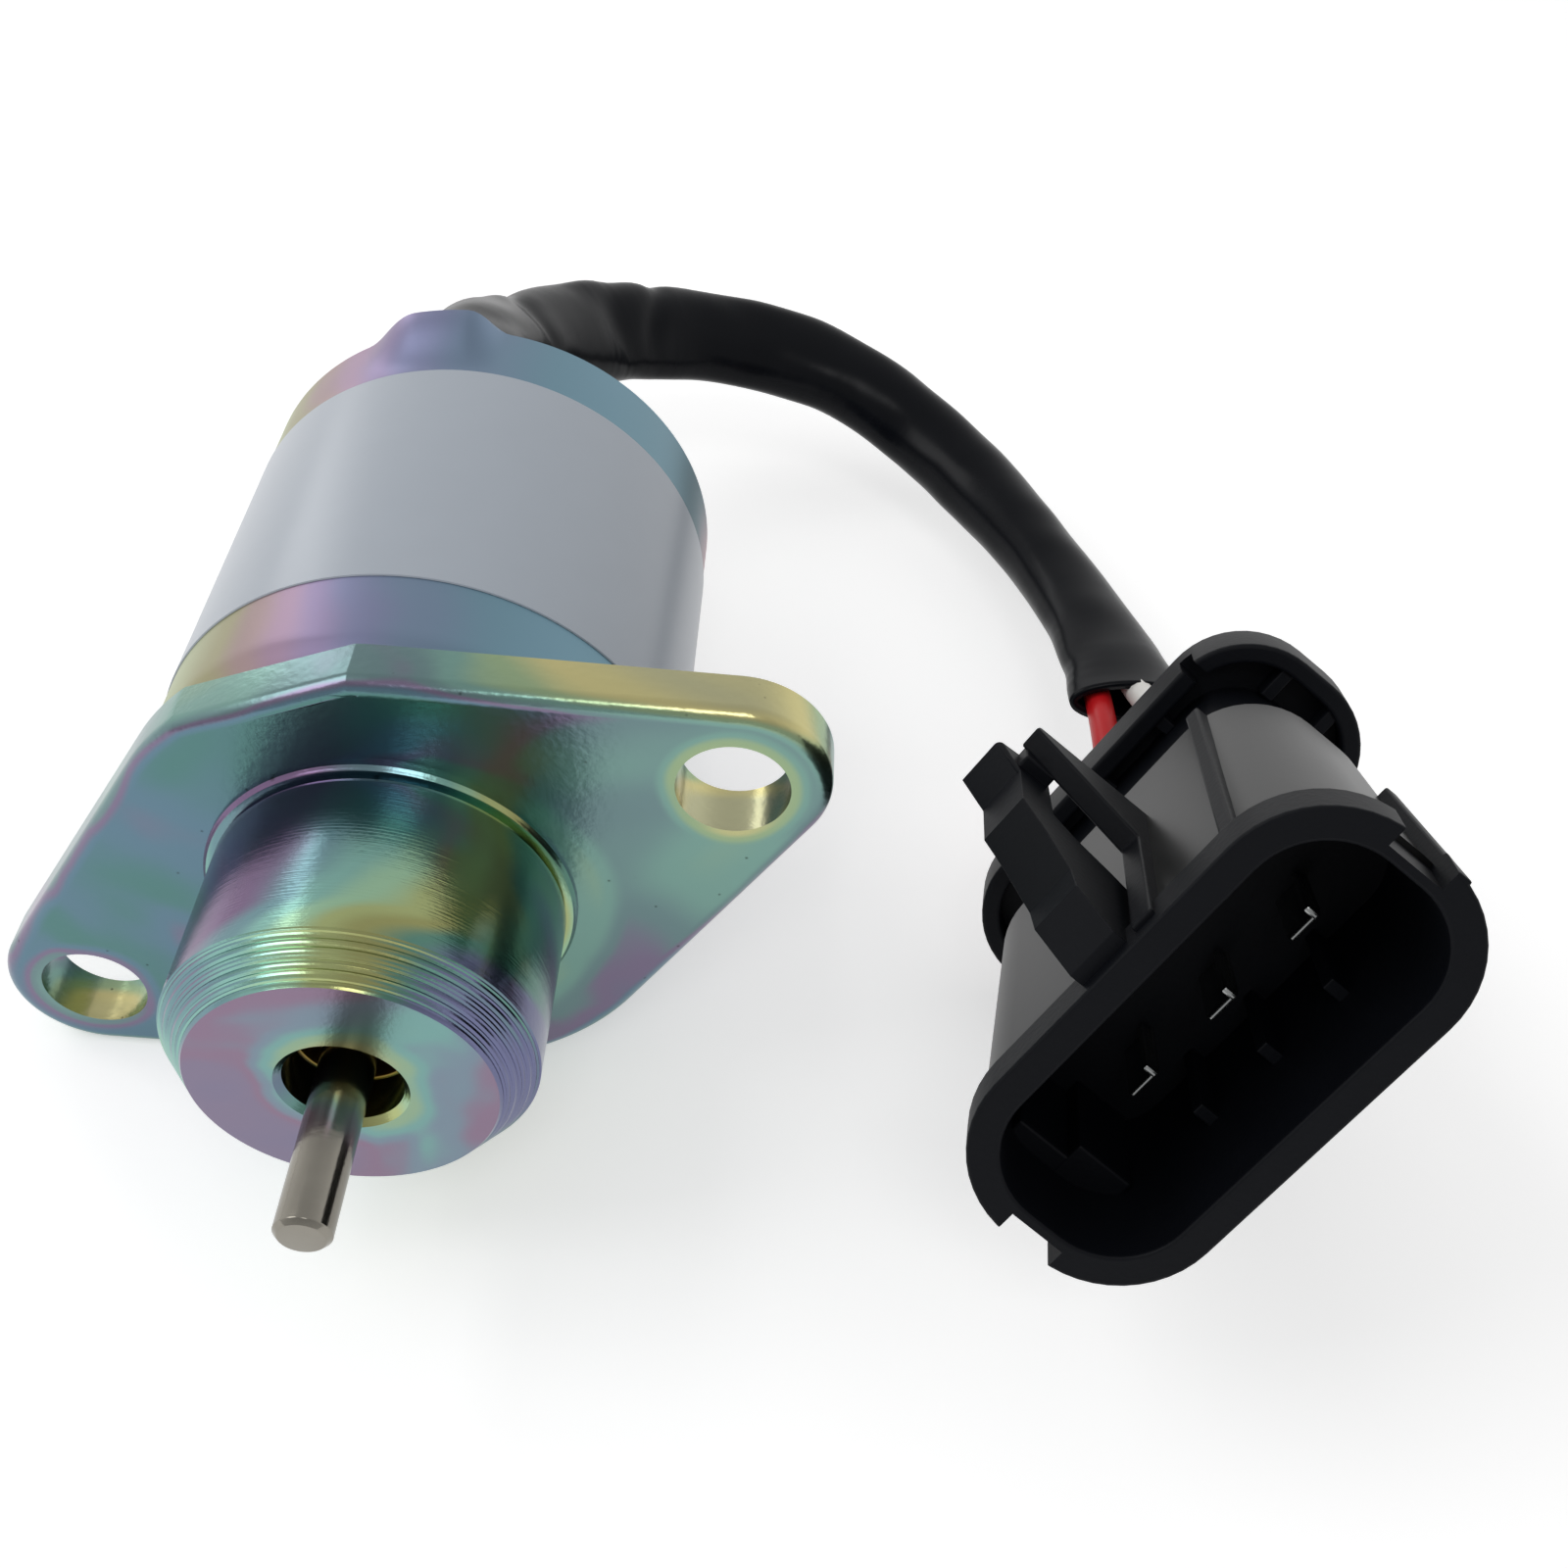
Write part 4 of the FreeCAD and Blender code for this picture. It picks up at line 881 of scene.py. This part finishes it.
def collarMesh():
    c = collar
    front = -housing["length"] - housing["stemLength"] + c["length"] - c["floor"]
    rear = front - c["length"]
    floorZ = rear + c["floor"]
    body = tower([(c["size"], rear, c["y"]), (c["size"], front, c["y"]), (c["size"], front, c["y"], c["wall"]),
                  (c["size"], floorZ, c["y"], c["wall"])])
    soften(body, c["roll"], segments=5, pick=lambda e: max(v.co.z for v in e.verts) < rear + 0.01)
    soften(body, 0.3, pick=lambda e: min(v.co.z for v in e.verts) > front - 0.01)
    top, bottom = c["y"] + c["size"][1], c["y"] - c["size"][1]
    half = c["web"] / 2
    webs = []
    for x in c["webX"]:
        webs.append(box(x - half, x + half, housing["stem"][1], top - 1, floorZ - 0.2, front - 0.4, 0.12))
        webs.append(box(x - half, x + half, bottom + 1, -housing["stem"][1], floorZ - 0.2, front - 0.4, 0.12))
    for side in (-1, 1):
        for y in c["webY"]:
            x0, x1 = sorted((side * housing["stem"][0], side * (c["size"][0] - 1)))
            webs.append(box(x0, x1, y - half, y + half, floorZ - 0.2, front - 0.4, 0.12))
    body = combine(body, webs, "UNION")
    cuts = [box(c["slot"][0], c["slot"][1], housing["stem"][1] + 0.6, top + 1, floorZ, front + 1)]
    for x in (-plug["bladePitch"], 0.0, plug["bladePitch"]):
        hole = bmesh.new()
        bmesh.ops.create_cone(hole, cap_ends=True, segments=40, radius1=c["holeRadius"], radius2=c["holeRadius"],
                              depth=c["floor"] * 4, matrix=Matrix.Translation((x, plug["bladeY"], rear)))
        cuts.append(hole)
    return combine(body, cuts, "DIFFERENCE")


collarPiece = makePiece("rearRetainer", collarMesh(), plugPlace, nylon, ["rear_retainer"], sharp=12)

terminal = {"tip": -9.5, "sheet": 0.4, "curl": 0.45, "rise": 1.1, "narrow": 1.2, "taper": 0.7}


def terminalMesh(x):
    # blade of folded sheet with one long edge turned up, its tip narrowed, and a crimp round the lead behind it
    wide, thick = housing["blade"]
    back = plug["bladeRear"] + housing["sealLength"]
    low = plug["bladeY"] - thick / 2
    bm = prism([(x - wide / 2, back), (x + wide / 2, back), (x + wide / 2, terminal["tip"] - terminal["taper"]),
                (x + terminal["narrow"], terminal["tip"]), (x - terminal["narrow"], terminal["tip"]),
                (x - wide / 2, terminal["tip"] - terminal["taper"])], low, low + terminal["sheet"], 1)
    soften(bm, 0.2, angle=20)
    edge = box(x + terminal["narrow"] - terminal["curl"], x + terminal["narrow"], low + 0.05, low + terminal["rise"],
               -housing["socket"] + 0.3, terminal["tip"] + 0.1, 0.16)
    joinInto(bm, edge)
    tail = bmesh.new()
    radius, length = leads["diameter"] / 2, housing["sealLength"]
    bmesh.ops.create_cone(tail, cap_ends=True, segments=32, radius1=radius, radius2=radius, depth=length,
                          matrix=Matrix.Translation((x, plug["bladeY"], back - length / 2)))
    joinInto(bm, tail)
    return bm


def sealMesh(x):
    # rubber seal with three lips
    rear = plug["bladeRear"]
    outer, inner, length = housing["sealRadius"], leads["diameter"] / 2, housing["sealLength"]
    corners = [(inner, rear), (outer, rear)]
    for z in (1.2, 2.9):
        corners += [(outer, rear + z), (outer - 0.4, rear + z + 0.1), (outer - 0.4, rear + z + 0.7),
                    (outer, rear + z + 0.8)]
    corners += [(outer, rear + length), (inner, rear + length)]
    bm = lathe(corners, steps=48, rounding=0.05)
    bmesh.ops.translate(bm, verts=bm.verts, vec=(x, plug["bladeY"], 0))
    return bm


terminalPieces = []
sealPieces = []
for number in range(3):
    x = plug["bladePitch"] * (number - 1)
    terminalPieces.append(makePiece("blade%d" % (number + 1), terminalMesh(x), plugPlace, tinned,
                                    ["terminal_%d" % (number + 1)], sharp=20))
    sealPieces.append(makePiece("wireSeal%d" % (number + 1), sealMesh(x), plugPlace, rubber,
                                ["wire_seal_%d" % (number + 1)], sharp=25))
print("plug ready")

# the inner solids and the plain ones at the can's rear keep their CAD mesh and only get a finish
for name, material in {
        "guide_tube": brass, "stop_washer": rubber, "plunger": darkSteel, "fixed_core": darkSteel,
        "back_plate": darkSteel, "rear_potting": resin, "bobbin": nylonDark, "pull_coil": copper, "hold_coil": copper,
        "coil_tape": filmTape, "lead_grommet": rubber}.items():
    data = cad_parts[name].data
    data.materials.clear()
    data.materials.append(material)

# each lead ends in its own blade and seal, and the middle one carries the housing that all three share
onLead = [[blade, seal] for blade, seal in zip(terminalPieces, sealPieces)]
onLead[1] += [housingPiece, collarPiece]
print("all pieces ready")
